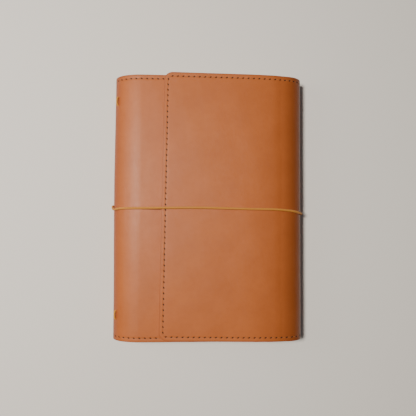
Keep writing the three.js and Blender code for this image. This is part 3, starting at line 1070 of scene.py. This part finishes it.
@dataclass
class CoverShell:
    """The leather and its lining, with the stitches that join them."""

    wrap: Wrap
    finishes: dict[Finish, bpy.types.Material]
    length_step: float = 1.5
    height_step: float = 2.6

    def seam_for(self, middle: float) -> Seam:
        """The stitch line of the half of the cover that a length lies in.

        Args:
            middle: The length at the middle of a piece.

        Returns:
            The stitch line.
        """
        if middle < 0:
            return Seam(-1.0, self.wrap.front_edge, self.wrap.half_height)
        return Seam(1.0, self.wrap.flap_edge, self.wrap.half_height)

    def stretches(self) -> list[Stretch]:
        """The pieces in order: rigid panels, and bends that each cross one hinge.

        Returns:
            The pieces.
        """
        spine_bodies = ["back", "spine_lower", "spine_middle", "spine_upper", "spine_shoulder", "front"]
        fore_bodies = ["back", "fore_lower", "fore_middle", "fore_upper", "flap"]
        spine_stops = [self.wrap.spine.length_to(a) for a in (0, 50, 90, 130, 160, 182.8)]
        fore_stops = [self.wrap.fore.length_to(a) for a in (0, 60, 120, 160, 177.8)]
        found = [Stretch("back", spine_stops[0], fore_stops[0], ("back",), "back")]
        for i, stop in enumerate(spine_stops[1:]):
            node = spine_bodies[i + 1] if i < 4 else None
            pair = (spine_bodies[i], spine_bodies[i + 1])
            found.append(Stretch(f"spine_bend_{i + 1}", stop, spine_stops[i], pair, node))
        for i, stop in enumerate(fore_stops[1:]):
            node = fore_bodies[i + 1] if i < 3 else None
            pair = (fore_bodies[i], fore_bodies[i + 1])
            found.append(Stretch(f"fore_bend_{i + 1}", fore_stops[i], stop, pair, node))
        edge = self.wrap.front_edge
        found.append(Stretch("front", edge, spine_stops[-1], ("front",), "front", edge))
        edge = self.wrap.flap_edge
        found.append(Stretch("flap", fore_stops[-1], edge, ("flap",), "flap", edge))
        return found

    def stations(self, stretch: Stretch) -> Array:
        """Lengths across a stretch, close together near a free edge.

        Args:
            stretch: The piece.

        Returns:
            The lengths.
        """
        count = max(4, round((stretch.end - stretch.start) / self.length_step))
        even = np.linspace(stretch.start, stretch.end, count + 1)
        if stretch.free_edge is None:
            return even
        radius = SHEETS.corner_radius
        near = radius * (1 - np.cos(np.linspace(0, np.pi / 2, 14)))
        near = np.union1d(near, [0.08, 0.2, 0.35, 2.6, 3.1, 3.6])
        sign = 1.0 if stretch.free_edge > 0 else -1.0
        rest = even[np.abs(even - stretch.free_edge) > radius + 0.8]
        return np.sort(np.concatenate([rest, stretch.free_edge - sign * near]))

    def rows(self) -> Array:
        """Heights as (share of the local half height kept, inset from it), top edge to middle.

        Returns:
            The insets, in millimetres.
        """
        near = np.array([0, 0.08, 0.2, 0.4, 0.8, 1.4, 2.0, 2.5, 2.8, 3.1, 3.4, 3.7, 4.3, 5.2, 6.6])
        count = round((self.wrap.half_height - 8.0) / self.height_step)
        far = np.linspace(8.0, self.wrap.half_height, count)[:-1]
        return np.concatenate([near, far])

    def heights(self, lengths: Array, free_edge: float | None) -> Array:
        """Heights for every length: rows follow the outline near the edges, round corners too.

        Args:
            lengths: Lengths across the piece.
            free_edge: The length of its free edge, if it has one.

        Returns:
            Heights, a row of them for each length.
        """
        inset = self.rows()
        half = np.full_like(lengths, self.wrap.half_height)
        if free_edge is not None:
            radius = SHEETS.corner_radius
            missing = np.maximum(radius - np.abs(lengths - free_edge), 0.0)
            half = half - (radius - np.sqrt(radius**2 - missing**2))
        share = 1 - inset / self.wrap.half_height
        near = inset < 8.0
        upper = np.where(near, half[:, None] - inset, half[:, None] * share)
        middle = np.zeros((len(lengths), 1))
        return np.concatenate([-upper, middle, upper[:, ::-1]], 1)

    def relief(self, seam: Seam, length: Array, y: Array) -> Array:
        """How deep the grain side dips: rounded cut edges, the stitch valley, and soft waves.

        Args:
            seam: The stitch line.
            length: Lengths along the wrap.
            y: Heights.

        Returns:
            The depths.
        """
        along, inwards = seam.measure(length, y)
        round_off = np.clip(SHEETS.edge_round - inwards, 0.0, SHEETS.edge_round)
        rim = SHEETS.edge_round - np.sqrt(SHEETS.edge_round**2 - round_off**2)
        off = (inwards - STITCHING.inset) / STITCHING.valley_width
        pull = 0.75 + 0.25 * np.cos(2 * np.pi * along / STITCHING.pitch)
        valley = STITCHING.valley_depth * np.exp(-(off**2)) * pull
        swell = 0.05 * np.sin(length / 9.0 + 0.4) * np.sin(y / 13.0 + 1.1)
        ripple = 0.035 * np.sin(length / 4.1 + y / 17.0) * np.sin(y / 6.3 - length / 23.0)
        return rim + valley + 0.09 + swell + ripple

    def surface(self, seam: Seam, layer: Layer, outside: bool) -> Callable[[Array, Array], Array]:
        """One face of one sheet, as a function of length and height.

        Args:
            seam: The stitch line.
            layer: Which sheet.
            outside: Whether it is the sheet's outer face.

        Returns:
            The face.
        """

        def place(length: Array, y: Array) -> Array:
            """Points at lengths and heights.

            Args:
                length: Lengths along the wrap.
                y: Heights.

            Returns:
                The points, in millimetres.
            """
            if layer is Layer.OUTER and outside:
                depth = self.relief(seam, length, y)
            elif layer is Layer.OUTER:
                depth = SHEETS.leather
            elif outside:
                depth = SHEETS.lining_top
            else:
                depth = SHEETS.lining_bottom - 0.7 * (self.relief(seam, length, y) - 0.09)
            return self.wrap.place(length, y, depth)

        return place

    def sheet(self, patches: Patches, stretch: Stretch, layer: Layer) -> None:
        """Add one closed sheet: two faces and the walls between them.

        Args:
            patches: The mesh that it is added to.
            stretch: The piece.
            layer: Which sheet.
        """
        seam = self.seam_for((stretch.start + stretch.end) / 2)
        lengths = self.stations(stretch)
        y = self.heights(lengths, stretch.free_edge)
        length = np.repeat(lengths[:, None], y.shape[1], 1)
        along, inwards = seam.measure(length, y)
        wrap_map = np.stack([length, y], -1).reshape(-1, 2)
        seam_map = np.stack([along, inwards], -1).reshape(-1, 2)
        rows, columns = length.shape
        total = rows * columns
        for outside in (True, False):
            place = self.surface(seam, layer, outside)
            along_length, along_y = slopes(place, length, y)
            normals = np.cross(along_length, along_y).reshape(-1, 3)
            if outside:
                normals = -normals
            first = patches.add_points(place(length, y))
            faces = grid_faces(rows, columns, turned=outside)
            patches.add_faces(faces + first, normals[faces], wrap_map[faces], seam_map[faces], 0)
        outer_first = patches.count - 2 * total
        grid = np.arange(total).reshape(rows, columns)
        borders = (grid[0, :], grid[-1, ::-1], grid[::-1, 0], grid[:, -1])
        cut = (stretch.free_edge == stretch.start, stretch.free_edge == stretch.end, True, True)
        points = np.concatenate(patches.points)[outer_first:]
        for border, is_cut in zip(borders, cut):
            here, onward = border[:-1], border[1:]
            faces = np.stack([here + total, onward + total, onward, here], -1)
            across = np.cross(points[here + total] - points[here], points[onward] - points[here])
            normals = np.repeat(across[:, None], 4, 1)
            slot = 1 if is_cut else 0
            grid_map, cut_map = np.tile(wrap_map, (2, 1))[faces], np.tile(seam_map, (2, 1))[faces]
            grid_map[:, :2] += 1.5
            patches.add_faces(faces + outer_first, normals, grid_map, cut_map, slot)

    def stitches(self, patches: Patches, stretch: Stretch, layer: Layer) -> None:
        """Add the thread: short eight-sided tubes that dive into a needle hole at each end.

        Args:
            patches: The mesh that it is added to.
            stretch: The piece.
            layer: Which sheet.
        """
        seam = self.seam_for((stretch.start + stretch.end) / 2)
        if stretch.free_edge is None and stretch.start * stretch.end < 0:
            halves = [self.seam_for(-1.0), self.seam_for(1.0)]
        else:
            halves = [seam]
        for half in halves:
            centres = np.arange(0.5, half.total / STITCHING.pitch) * STITCHING.pitch
            lengths, _ = half.place(centres)
            inside = (lengths >= stretch.start) & (lengths < stretch.end)
            if inside.any():
                self.thread(patches, half, layer, centres[inside])

    def thread(self, patches: Patches, seam: Seam, layer: Layer, centres: Array) -> None:
        """Add one tube for each stitch centre along a seam.

        Args:
            patches: The mesh that it is added to.
            seam: The stitch line.
            layer: Which sheet.
            centres: The middles of the stitches, along the seam.
        """
        share = np.array([-1.0, -0.97, -0.86, -0.6, -0.3, 0.0, 0.3, 0.6, 0.86, 0.97, 1.0])
        along = centres[:, None] + share * STITCHING.pitch * STITCHING.length_share / 2
        dive = np.abs(share) ** 5 * 0.75
        radius = STITCHING.thread_radius * np.sqrt(np.clip(1.02 - share**8, 0.02, 1.0))
        length, y = seam.place(along)
        outside = layer is Layer.OUTER
        lift = dive if outside else -dive
        base = STITCHING.thread_depth if outside else SHEETS.lining_bottom - 0.21
        centre = self.wrap.place(length, y, base + lift)
        above = self.wrap.place(length, y, base - 1.0) - self.wrap.place(length, y, base)
        forward = np.gradient(centre, axis=1)
        forward /= np.linalg.norm(forward, axis=-1, keepdims=True)
        sideways = np.cross(forward, above)
        sideways /= np.linalg.norm(sideways, axis=-1, keepdims=True)
        up = np.cross(sideways, forward)
        centre = centre + sideways * (share * STITCHING.lean * 0.9)[None, :, None]
        turn = np.arange(8) * np.pi / 4
        ring = sideways[:, :, None] * np.cos(turn)[:, None] + up[:, :, None] * np.sin(turn)[:, None]
        points = centre[:, :, None] + ring * radius[None, :, None, None]
        first = patches.add_points(points)
        stitches, steps = along.shape
        start = first + np.arange(stitches)[:, None, None] * steps * 8
        ring_start = start + np.arange(steps - 1)[None, :, None] * 8
        side = np.arange(8)
        faces = np.stack([ring_start + 8 + side, ring_start + 8 + (side + 1) % 8,
                          ring_start + (side + 1) % 8, ring_start + side], -1)
        caps_near = ring_cap(start[:, 0, 0])
        caps_far = ring_cap(start[:, 0, 0] + (steps - 1) * 8)[..., ::-1]
        flat_ring = ring.reshape(-1, 3)
        maps = np.stack([np.broadcast_to(along[:, :, None], points.shape[:3]),
                         np.broadcast_to(turn, points.shape[:3])], -1).reshape(-1, 2)
        for group in (faces, caps_near, caps_far):
            quads = group.reshape(-1, 4)
            local = quads - first
            patches.add_faces(quads, flat_ring[local], maps[local], maps[local] * 0 + 50.0, 2)

    def carry(self, obj: bpy.types.Object, stretch: Stretch) -> None:
        """Fix a piece with one body to it; a piece that spans a hinge is not attached, and only has its
        transform baked into its mesh.

        Args:
            obj: The object.
            stretch: The piece.
        """
        if len(stretch.bodies) == 1:
            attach(obj, stretch.bodies[0])
            return
        low, high = sorted((stretch.start, stretch.end), key=abs)
        ends = self.wrap.place(np.array([low, high]), np.array([100.0, 100.0]), 0.0)
        ends[:, 1] = 0.0
        chord = ends[1] - ends[0]
        inner = self.wrap.place(np.array([low]), np.array([100.0]), SHEETS.lining_bottom)[0]
        share = float(np.dot(inner[[0, 2]] - ends[0][[0, 2]], chord[[0, 2]]) / np.dot(chord, chord))
        start, end = ends[0] + chord * share, ends[1] - chord * share
        tuple(start * MM)
        tuple(end * MM)
        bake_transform(obj)

    def build(self) -> list[bpy.types.Object]:
        """Build every stretch of both sheets.

        Returns:
            The objects.
        """
        made = []
        for stretch in self.stretches():
            for layer in Layer:
                patches = Patches()
                self.sheet(patches, stretch, layer)
                self.stitches(patches, stretch, layer)
                finish = Finish.LEATHER if layer is Layer.OUTER else Finish.LINING
                slots = [self.finishes[f] for f in (finish, Finish.EDGE, Finish.THREAD)]
                obj = patches.build(f"{layer.value}_{stretch.name}_sheet", slots)
                self.carry(obj, stretch)
                if stretch.node:
                    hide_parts(f"{layer.value}_{stretch.node}")
                made.append(obj)
                LOG.info("%s: %d points", obj.name, patches.count)
        return made


# --- Cords ---


def smooth_route(points: Array, step: float) -> Array:
    """Points a step apart on a curve through chosen points.

    Each span is a centripetal Catmull-Rom cubic in its Hermite form: slopes at a point weigh the
    spans on its two sides by the roots of their lengths.

    Args:
        points: The chosen points, in millimetres.
        step: How far apart the new points are, about.

    Returns:
        The new points.
    """
    padded = np.concatenate([[2 * points[0] - points[1]], points, [2 * points[-1] - points[-2]]])
    spans = np.sqrt(np.maximum(np.linalg.norm(np.diff(padded, axis=0), axis=1), 1e-6))
    before, here, after = spans[:-2, None], spans[1:-1, None], spans[2:, None]
    p0, p1, p2, p3 = padded[:-3], padded[1:-2], padded[2:-1], padded[3:]
    leave = (p1 - p0) / before - (p2 - p0) / (before + here) + (p2 - p1) / here
    arrive = (p2 - p1) / here - (p3 - p1) / (here + after) + (p3 - p2) / after
    counts = np.maximum(2, np.round(np.linalg.norm(p2 - p1, axis=1) / step)).astype(int)
    which = np.repeat(np.arange(len(counts)), counts)
    starts = np.repeat(np.cumsum(counts) - counts, counts)
    t = ((np.arange(counts.sum()) - starts) / counts[which])[:, None]
    a, b, m0, m1 = p1[which], p2[which], (leave * here)[which], (arrive * here)[which]
    curve = (2 * t**3 - 3 * t**2 + 1) * a + (t**3 - 2 * t**2 + t) * m0
    curve += (3 * t**2 - 2 * t**3) * b + (t**3 - t**2) * m1
    return np.concatenate([curve, points[-1:]])


def tube(name: str, points: Array, radius: float, reference: Array,
         material: bpy.types.Material, step: float = 0.7) -> bpy.types.Object:
    """A cord: rings of sixteen points set square to a smooth route.

    Args:
        name: The object's name.
        points: The route's chosen points, in millimetres.
        radius: The cord's radius.
        reference: A direction that the route never runs along.
        material: The cord's finish.
        step: Distance between rings.

    Returns:
        The object.
    """
    route = smooth_route(points, step)
    forward = np.gradient(route, axis=0)
    forward /= np.linalg.norm(forward, axis=1, keepdims=True)
    sideways = np.cross(forward, reference)
    sideways /= np.linalg.norm(sideways, axis=1, keepdims=True)
    up = np.cross(sideways, forward)
    turn = np.arange(16) * np.pi / 8
    ring = sideways[:, None] * np.cos(turn)[:, None] + up[:, None] * np.sin(turn)[:, None]
    along = np.concatenate([[0], np.cumsum(np.linalg.norm(np.diff(route, axis=0), axis=1))])
    patches = Patches()
    patches.add_points(route[:, None] + ring * radius)
    side = np.arange(16)
    ring_start = np.arange(len(route) - 1)[:, None] * 16
    faces = np.stack([ring_start + 16 + side, ring_start + 16 + (side + 1) % 16,
                      ring_start + (side + 1) % 16, ring_start + side], -1).reshape(-1, 4)
    around = np.stack([side, side + 1, side + 1, side], -1) / 16
    around = np.tile(around, (len(route) - 1, 1))
    lengths = along[faces // 16]
    maps = np.stack([lengths, around], -1)
    flat_ring = ring.reshape(-1, 3)
    patches.add_faces(faces, flat_ring[faces], maps, maps, 0)
    cap = np.array([[0, 1, 2, 15], [15, 2, 3, 14], [14, 3, 4, 13], [13, 4, 5, 12],
                    [12, 5, 6, 11], [11, 6, 7, 10], [10, 7, 8, 9]])
    far = cap + (len(route) - 1) * 16
    for quads, direction in ((cap, -forward[0]), (far[:, ::-1], forward[-1])):
        normals = np.broadcast_to(direction, (*quads.shape, 3))
        flat = np.zeros((*quads.shape, 2))
        patches.add_faces(quads, normals, flat, flat, 0)
    return patches.build(name, [material])


@dataclass(frozen=True)
class BindingRow:
    """A row of holes in the spine, and the fold bores its elastic's two strands run through.

    The bores are x and z in millimetres. The lifts are where the first strand rises, over
    the closure cord under the bottom booklet: pairs of y and rise.
    """

    name: str
    angle: float
    bore: tuple[float, float]
    second: tuple[float, float] | None = None
    apart: float = 14.0
    lifts: tuple[tuple[float, float], ...] = ()


BINDING_ROWS = (
    BindingRow("lower", 50.0, (-66.36, 6.07),
               lifts=((22, 0.0), (12, 0.0), (7, 0.19), (2, 0.47), (-3, 0.57), (-8, 0.47),
                      (-13, 0.19), (-18, 0.0), (-28, 0.0))),
    BindingRow("upper", 130.0, (-66.36, 19.33), (-66.36, 12.7)),
)


@dataclass(frozen=True)
class Cords:
    """The closure cord and the two binding elastics."""

    wrap: Wrap
    finishes: dict[Finish, bpy.types.Material]
    closure_radius: float = 0.9
    closure_hole: float = -0.2
    strand_spacing: float = 2.2
    binding_radius: float = 0.75
    hole_heights: tuple[float, float] = (92.7, 85.8)
    rest: float = 0.04
    sheet_depth: float = 2.4
    strand_depth: float = 3.45
    over_end: float = 106.25
    booklet_end: float = 105.0
    knot_depth: float = 4.6
    knot_size: float = 0.9

    def at(self, side: Side, angle: float, y: float, out: float) -> Array:
        """A point outside the wrap, where a side has turned through an angle."""
        return self.wrap.place(np.array([side.length_to(angle)]), np.array([y]), -out)[0]

    def flap(self, x: float, y: float, out: float) -> Array:
        """A point over the flap at an x.

        Args:
            x: Where it ends, in x.
            y: Heights.
            out: Distance outside the wrap.

        Returns:
            The point.
        """
        length = self.wrap.length_to_x(self.wrap.fore, self.wrap.flap_lean, x)
        point = self.wrap.place(np.array([length]), np.array([y]), -out)[0]
        point[1] = y
        return point

    def closure_route(self) -> Array:
        """The closure cord's route, out of its hole, round the cover and back to the hole.

        Returns:
            The route's points.
        """
        wrap, out = self.wrap, self.closure_radius + self.rest
        front = self.closure_hole + self.strand_spacing / 2
        back = self.closure_hole - self.strand_spacing / 2
        left, right = -wrap.spine.edge, wrap.fore.edge
        edge_x = wrap.flap_setback - wrap.half_width
        route = [self.at(wrap.spine, 90, front, -0.4), self.at(wrap.spine, 90, front, 0.3)]
        route.append(self.at(wrap.spine, 93, front, out * 0.8))
        for angle, y in ((101, 0.5), (113, -1.6), (126, -1.9), (140, -1.4), (155, -1.1), (172, -1.0)):
            route.append(self.at(wrap.spine, angle, y, out))
        for x, y in ((edge_x + 0.2, -0.7), (edge_x + 4, -0.65), (-5, -0.4), (35, -1.2)):
            route.append(self.flap(x, y, out))
        for angle, y in ((177, -1.8), (165, -2.3), (150, -3.0), (135, -3.7), (118, -4.4), (100, -4.8)):
            route.append(self.at(wrap.fore, angle, y, out))
        for angle, y in ((82, -5.0), (64, -5.1), (46, -5.1), (28, -5.0), (10, -5.0)):
            route.append(self.at(wrap.fore, angle, y, out + 0.2))
        for x in (right - 8, 30.0, -10.0, -45.0, left + 8):
            y = -1.8 - 3.2 * (x - left) / (right - left)
            route.append(wrap.place(np.array([x]), np.array([y]), -out - 0.25)[0])
        for angle, y in ((10, -1.6), (25, -1.5), (42, -1.4), (60, -1.3), (78, -1.3)):
            route.append(self.at(wrap.spine, angle, y, out + 0.1))
        route.append(self.at(wrap.spine, 87, back, out * 0.8))
        route.append(self.at(wrap.spine, 90, back, 0.3))
        route.append(self.at(wrap.spine, 90, back, -0.4))
        return np.array(route)

    def arch(self, angle: float, side: float) -> list[Array]:
        """A binding elastic's short run outside, between its two holes at one end.

        Args:
            angle: The row's angle round the spine.
            side: 1 for the top end, -1 for the bottom end.

        Returns:
            The points.
        """
        low, high = self.hole_heights[1], self.hole_heights[0]
        top = self.binding_radius + 0.1
        stops = ((low, -2.6), (low, -0.6), (low + 0.35, 0.35), (low + 1.6, top),
                 ((low + high) / 2, top + 0.2), (high - 1.6, top), (high - 0.35, 0.35),
                 (high, -0.6), (high, -2.6))
        return [self.at(self.wrap.spine, angle, side * y, out) for y, out in stops]

    def strand_end(self, angle: float, bore: tuple[float, float], hole: float, side: float,
                   aside: float) -> list[Array]:
        """A strand from its hole up inside the lining, over a booklet's end into its fold.

        Args:
            angle: The row's angle round the spine.
            bore: The x and z of the booklet's bore.
            hole: The height of the hole it comes through.
            side: 1 for the top end, -1 for the bottom end.
            aside: How far round the spine the strand lies beside its row.

        Returns:
            The route's points, from the hole to the fold.
        """
        spine, beside = self.wrap.spine, angle - aside
        inner = np.array([bore[0], side * self.over_end, bore[1]])
        corner = self.at(spine, beside, side * (self.over_end - 0.3), -self.strand_depth - 0.6)
        across = corner + (inner - corner) * 0.6
        across[1] = side * (self.over_end + 0.2)
        return [
            self.at(spine, angle, side * hole, -self.sheet_depth / 2),
            self.at(spine, angle, side * (hole + 0.5), -self.sheet_depth - 0.9),
            self.at(spine, beside, side * (hole + 2.6), -self.strand_depth),
            self.at(spine, beside, side * (self.over_end - 3.5), -self.strand_depth),
            corner,
            across,
            inner + (across - inner) * 0.12,
            np.array([bore[0], side * (self.booklet_end - 0.2), bore[1]]),
            np.array([bore[0], side * (self.booklet_end - 4.0), bore[1]]),
        ]

    def spare(self, angle: float, side: float) -> list[Array]:
        """A strand along its row inside the lining, from the middle to the inner hole.

        Args:
            angle: The row's angle round the spine.
            side: 1 for the top end, -1 for the bottom end.

        Returns:
            The points.
        """
        low, spine = self.hole_heights[1], self.wrap.spine
        stops = ((0.2, self.strand_depth), (low - 12, self.strand_depth),
                 (low - 2.2, self.strand_depth), (low - 0.5, self.sheet_depth + 0.9),
                 (low, self.sheet_depth / 2))
        return [self.at(spine, angle, side * y, -deep) for y, deep in stops]

    def loop(self, row: BindingRow) -> Array:
        """A binding elastic: out of a hole, over, through a fold and round again.

        Args:
            row: The row of holes and the bores its two strands run through.

        Returns:
            The route's points, from the second strand's middle round to it again.
        """
        high, low = self.hole_heights
        halves = {}
        for side in (1.0, -1.0):
            if row.second is None:
                halves[side] = self.spare(row.angle, side)
            else:
                end = self.strand_end(row.angle, row.second, low, side, row.apart)
                middle = np.array([row.second[0], side * 0.2, row.second[1]])
                halves[side] = [middle, *end[::-1]]
        top = self.strand_end(row.angle, row.bore, high, 1.0, 0.0)
        bottom = self.strand_end(row.angle, row.bore, high, -1.0, 0.0)
        over = [np.array([row.bore[0], y, row.bore[1] + lift]) for y, lift in row.lifts]
        return np.array([*halves[1.0], *self.arch(row.angle, 1.0)[1:-1], *top, *over,
                         *bottom[::-1], *self.arch(row.angle, -1.0)[1:-1][::-1],
                         *halves[-1.0][::-1]])

    def knot_route(self) -> Array:
        """The knot: x = depth, y = s(sin t + 2 sin 2t), z = s(cos t - 2 cos 2t), open at t = 0.

        Returns:
            The route's points.
        """
        spine = self.wrap.spine
        centre = self.at(spine, 90, self.closure_hole, -self.knot_depth)
        turn = np.linspace(0.35, 2 * math.pi - 0.35, 33)
        sine = np.sin(turn) + 2 * np.sin(2 * turn)
        cosine = np.cos(turn) - 2 * np.cos(2 * turn)
        ring = centre + self.knot_size * np.stack([-np.sin(3 * turn), sine, cosine], axis=1)
        half = self.strand_spacing / 2
        first = self.at(spine, 90, self.closure_hole + half, -0.9)
        last = self.at(spine, 90, self.closure_hole - half, -0.9)
        return np.concatenate([[first], ring, [last]])

    def build(self) -> list[bpy.types.Object]:
        """Build the cords and fix them to their bodies.

        Returns:
            The closure elastic, its knot and the two binding elastics.
        """
        closure = tube("closure_elastic", self.closure_route(), self.closure_radius,
                       np.array([0.0, 1.0, 0.0]), self.finishes[Finish.CLOSURE])
        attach(closure, "closure")
        hole = self.at(self.wrap.spine, 90, 0.0, 0.0)
        tuple(hole * MM)
        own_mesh(closure)
        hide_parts("closure_band")
        knot = tube("closure_elastic_knot", self.knot_route(), self.closure_radius,
                    np.array([1.0, 0.0, 0.0]), self.finishes[Finish.CLOSURE])
        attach(knot, "spine_middle")
        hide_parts("closure_knot")
        made = [closure, knot]
        for row in BINDING_ROWS:
            turn = math.radians(row.angle)
            across = np.array([-math.cos(turn), 0.0, math.sin(turn)])
            route = self.loop(row)
            elastic = tube(f"binding_{row.name}", route, self.binding_radius, across,
                           self.finishes[Finish.BINDING])
            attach(elastic, f"spine_{row.name}")
            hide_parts(f"binding_cord_{row.name}")
            made.append(elastic)
        return made


# --- Dressed CAD nodes, and the set ---


def dress(frame: dict, finishes: dict[Finish, bpy.types.Material]) -> None:
    """Give every CAD node that stays its material.

    Args:
        frame: What the frame loader returned.
        finishes: The materials.
    """
    kinds = {"pages": Finish.PAPER, "staple": Finish.STEEL, "insert": Finish.CARD,
             "binding": Finish.BINDING, "closure": Finish.CLOSURE}
    for name, node in frame["nodes"].items():
        match = [finish for word, finish in kinds.items() if word in name]
        if match:
            node.data.materials.clear()
            node.data.materials.append(finishes[match[0]])


@dataclass(frozen=True)
class Camera:
    """The camera, over the cover and looking down at it. Distances are in millimetres."""

    distance: float = 350.0
    middle: tuple[float, float, float] = (0.18, -0.2, 15.0)
    tilt: float = 2.0
    roll: float = 0.285
    focal: float = 413.0
    image_width: float = 416.0

    def build(self) -> bpy.types.Object:
        """Place the camera and make it the scene's.

        Returns:
            The camera.
        """
        data = bpy.data.cameras.new("camera")
        data.sensor_width = 36.0
        data.lens = self.focal / self.image_width * data.sensor_width
        camera = bpy.data.objects.new("camera", data)
        bpy.context.scene.collection.objects.link(camera)
        tilt, roll = math.radians(self.tilt), math.radians(self.roll)
        away = np.array([0.0, -math.sin(tilt), math.cos(tilt)]) * self.distance
        camera.location = Vector((np.array(self.middle) + away) * MM)
        camera.rotation_euler = (tilt, 0.0, roll)
        bpy.context.scene.camera = camera
        return camera


@dataclass(frozen=True)
class Lamp:
    """One soft area light: where it is and what it looks at, in metres."""

    name: str
    place: tuple[float, float, float]
    aim: tuple[float, float, float]
    size: float
    power: float
    colour: str

    def build(self) -> None:
        """Place the light."""
        data = bpy.data.lights.new(self.name, "AREA")
        data.shape = "DISK"
        data.size = self.size
        data.energy = self.power
        data.color = linear(self.colour)[:3]
        lamp = bpy.data.objects.new(self.name, data)
        bpy.context.scene.collection.objects.link(lamp)
        lamp.location = self.place
        direction = Vector(self.aim) - Vector(self.place)
        lamp.rotation_euler = direction.to_track_quat("-Z", "Y").to_euler()


LAMPS = (
    Lamp("key", (-0.36, 0.10, 0.90), (-0.04, 0.0, 0.0), 0.22, 11.6, "#fff6ea"),
    Lamp("low_left", (-0.85, 0.15, 0.45), (-0.03, 0.0, 0.0), 0.5, 1.5, "#fff4e6"),
)


def build_set() -> None:
    """A pale floor, soft lights and an even pale world."""
    mesh = bpy.data.meshes.new("floor")
    half, level = 3.0, -0.0003
    corners = ((-half, -half), (half, -half), (half, half), (-half, half))
    mesh.from_pydata([(x, y, level) for x, y in corners], [], [(0, 1, 2, 3)])
    floor = bpy.data.objects.new("floor", mesh)
    bpy.context.scene.collection.objects.link(floor)
    shader = Shader("pale_floor")
    mesh.materials.append(shader.finish("#e9e7e3", 0.9))
    for lamp in LAMPS:
        lamp.build()
    world = bpy.data.worlds.new("pale_world")
    world.use_nodes = True
    background = world.node_tree.nodes["Background"]
    background.inputs["Color"].default_value = linear("#f2f3f5")
    background.inputs["Strength"].default_value = 0.09
    bpy.context.scene.world = world


def main() -> None:
    """Load the frame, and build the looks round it."""
    logging.basicConfig(level=logging.INFO, format="%(message)s")
    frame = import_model()
    finishes = make_finishes()
    spine_low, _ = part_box("outer_spine_middle")
    _, back_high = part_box("outer_back")
    _, front_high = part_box("outer_front")
    wrap = Wrap(
        half_width=-spine_low.x / MM,
        half_height=back_high.y / MM,
        front_top=round(front_high.z / MM, 2),
        flap_edge_z=29.0,
    )
    CoverShell(wrap, finishes).build()
    Cords(wrap, finishes).build()
    dress(frame, finishes)
    build_set()
    Camera().build()


if __name__ == "__main__":
    main()
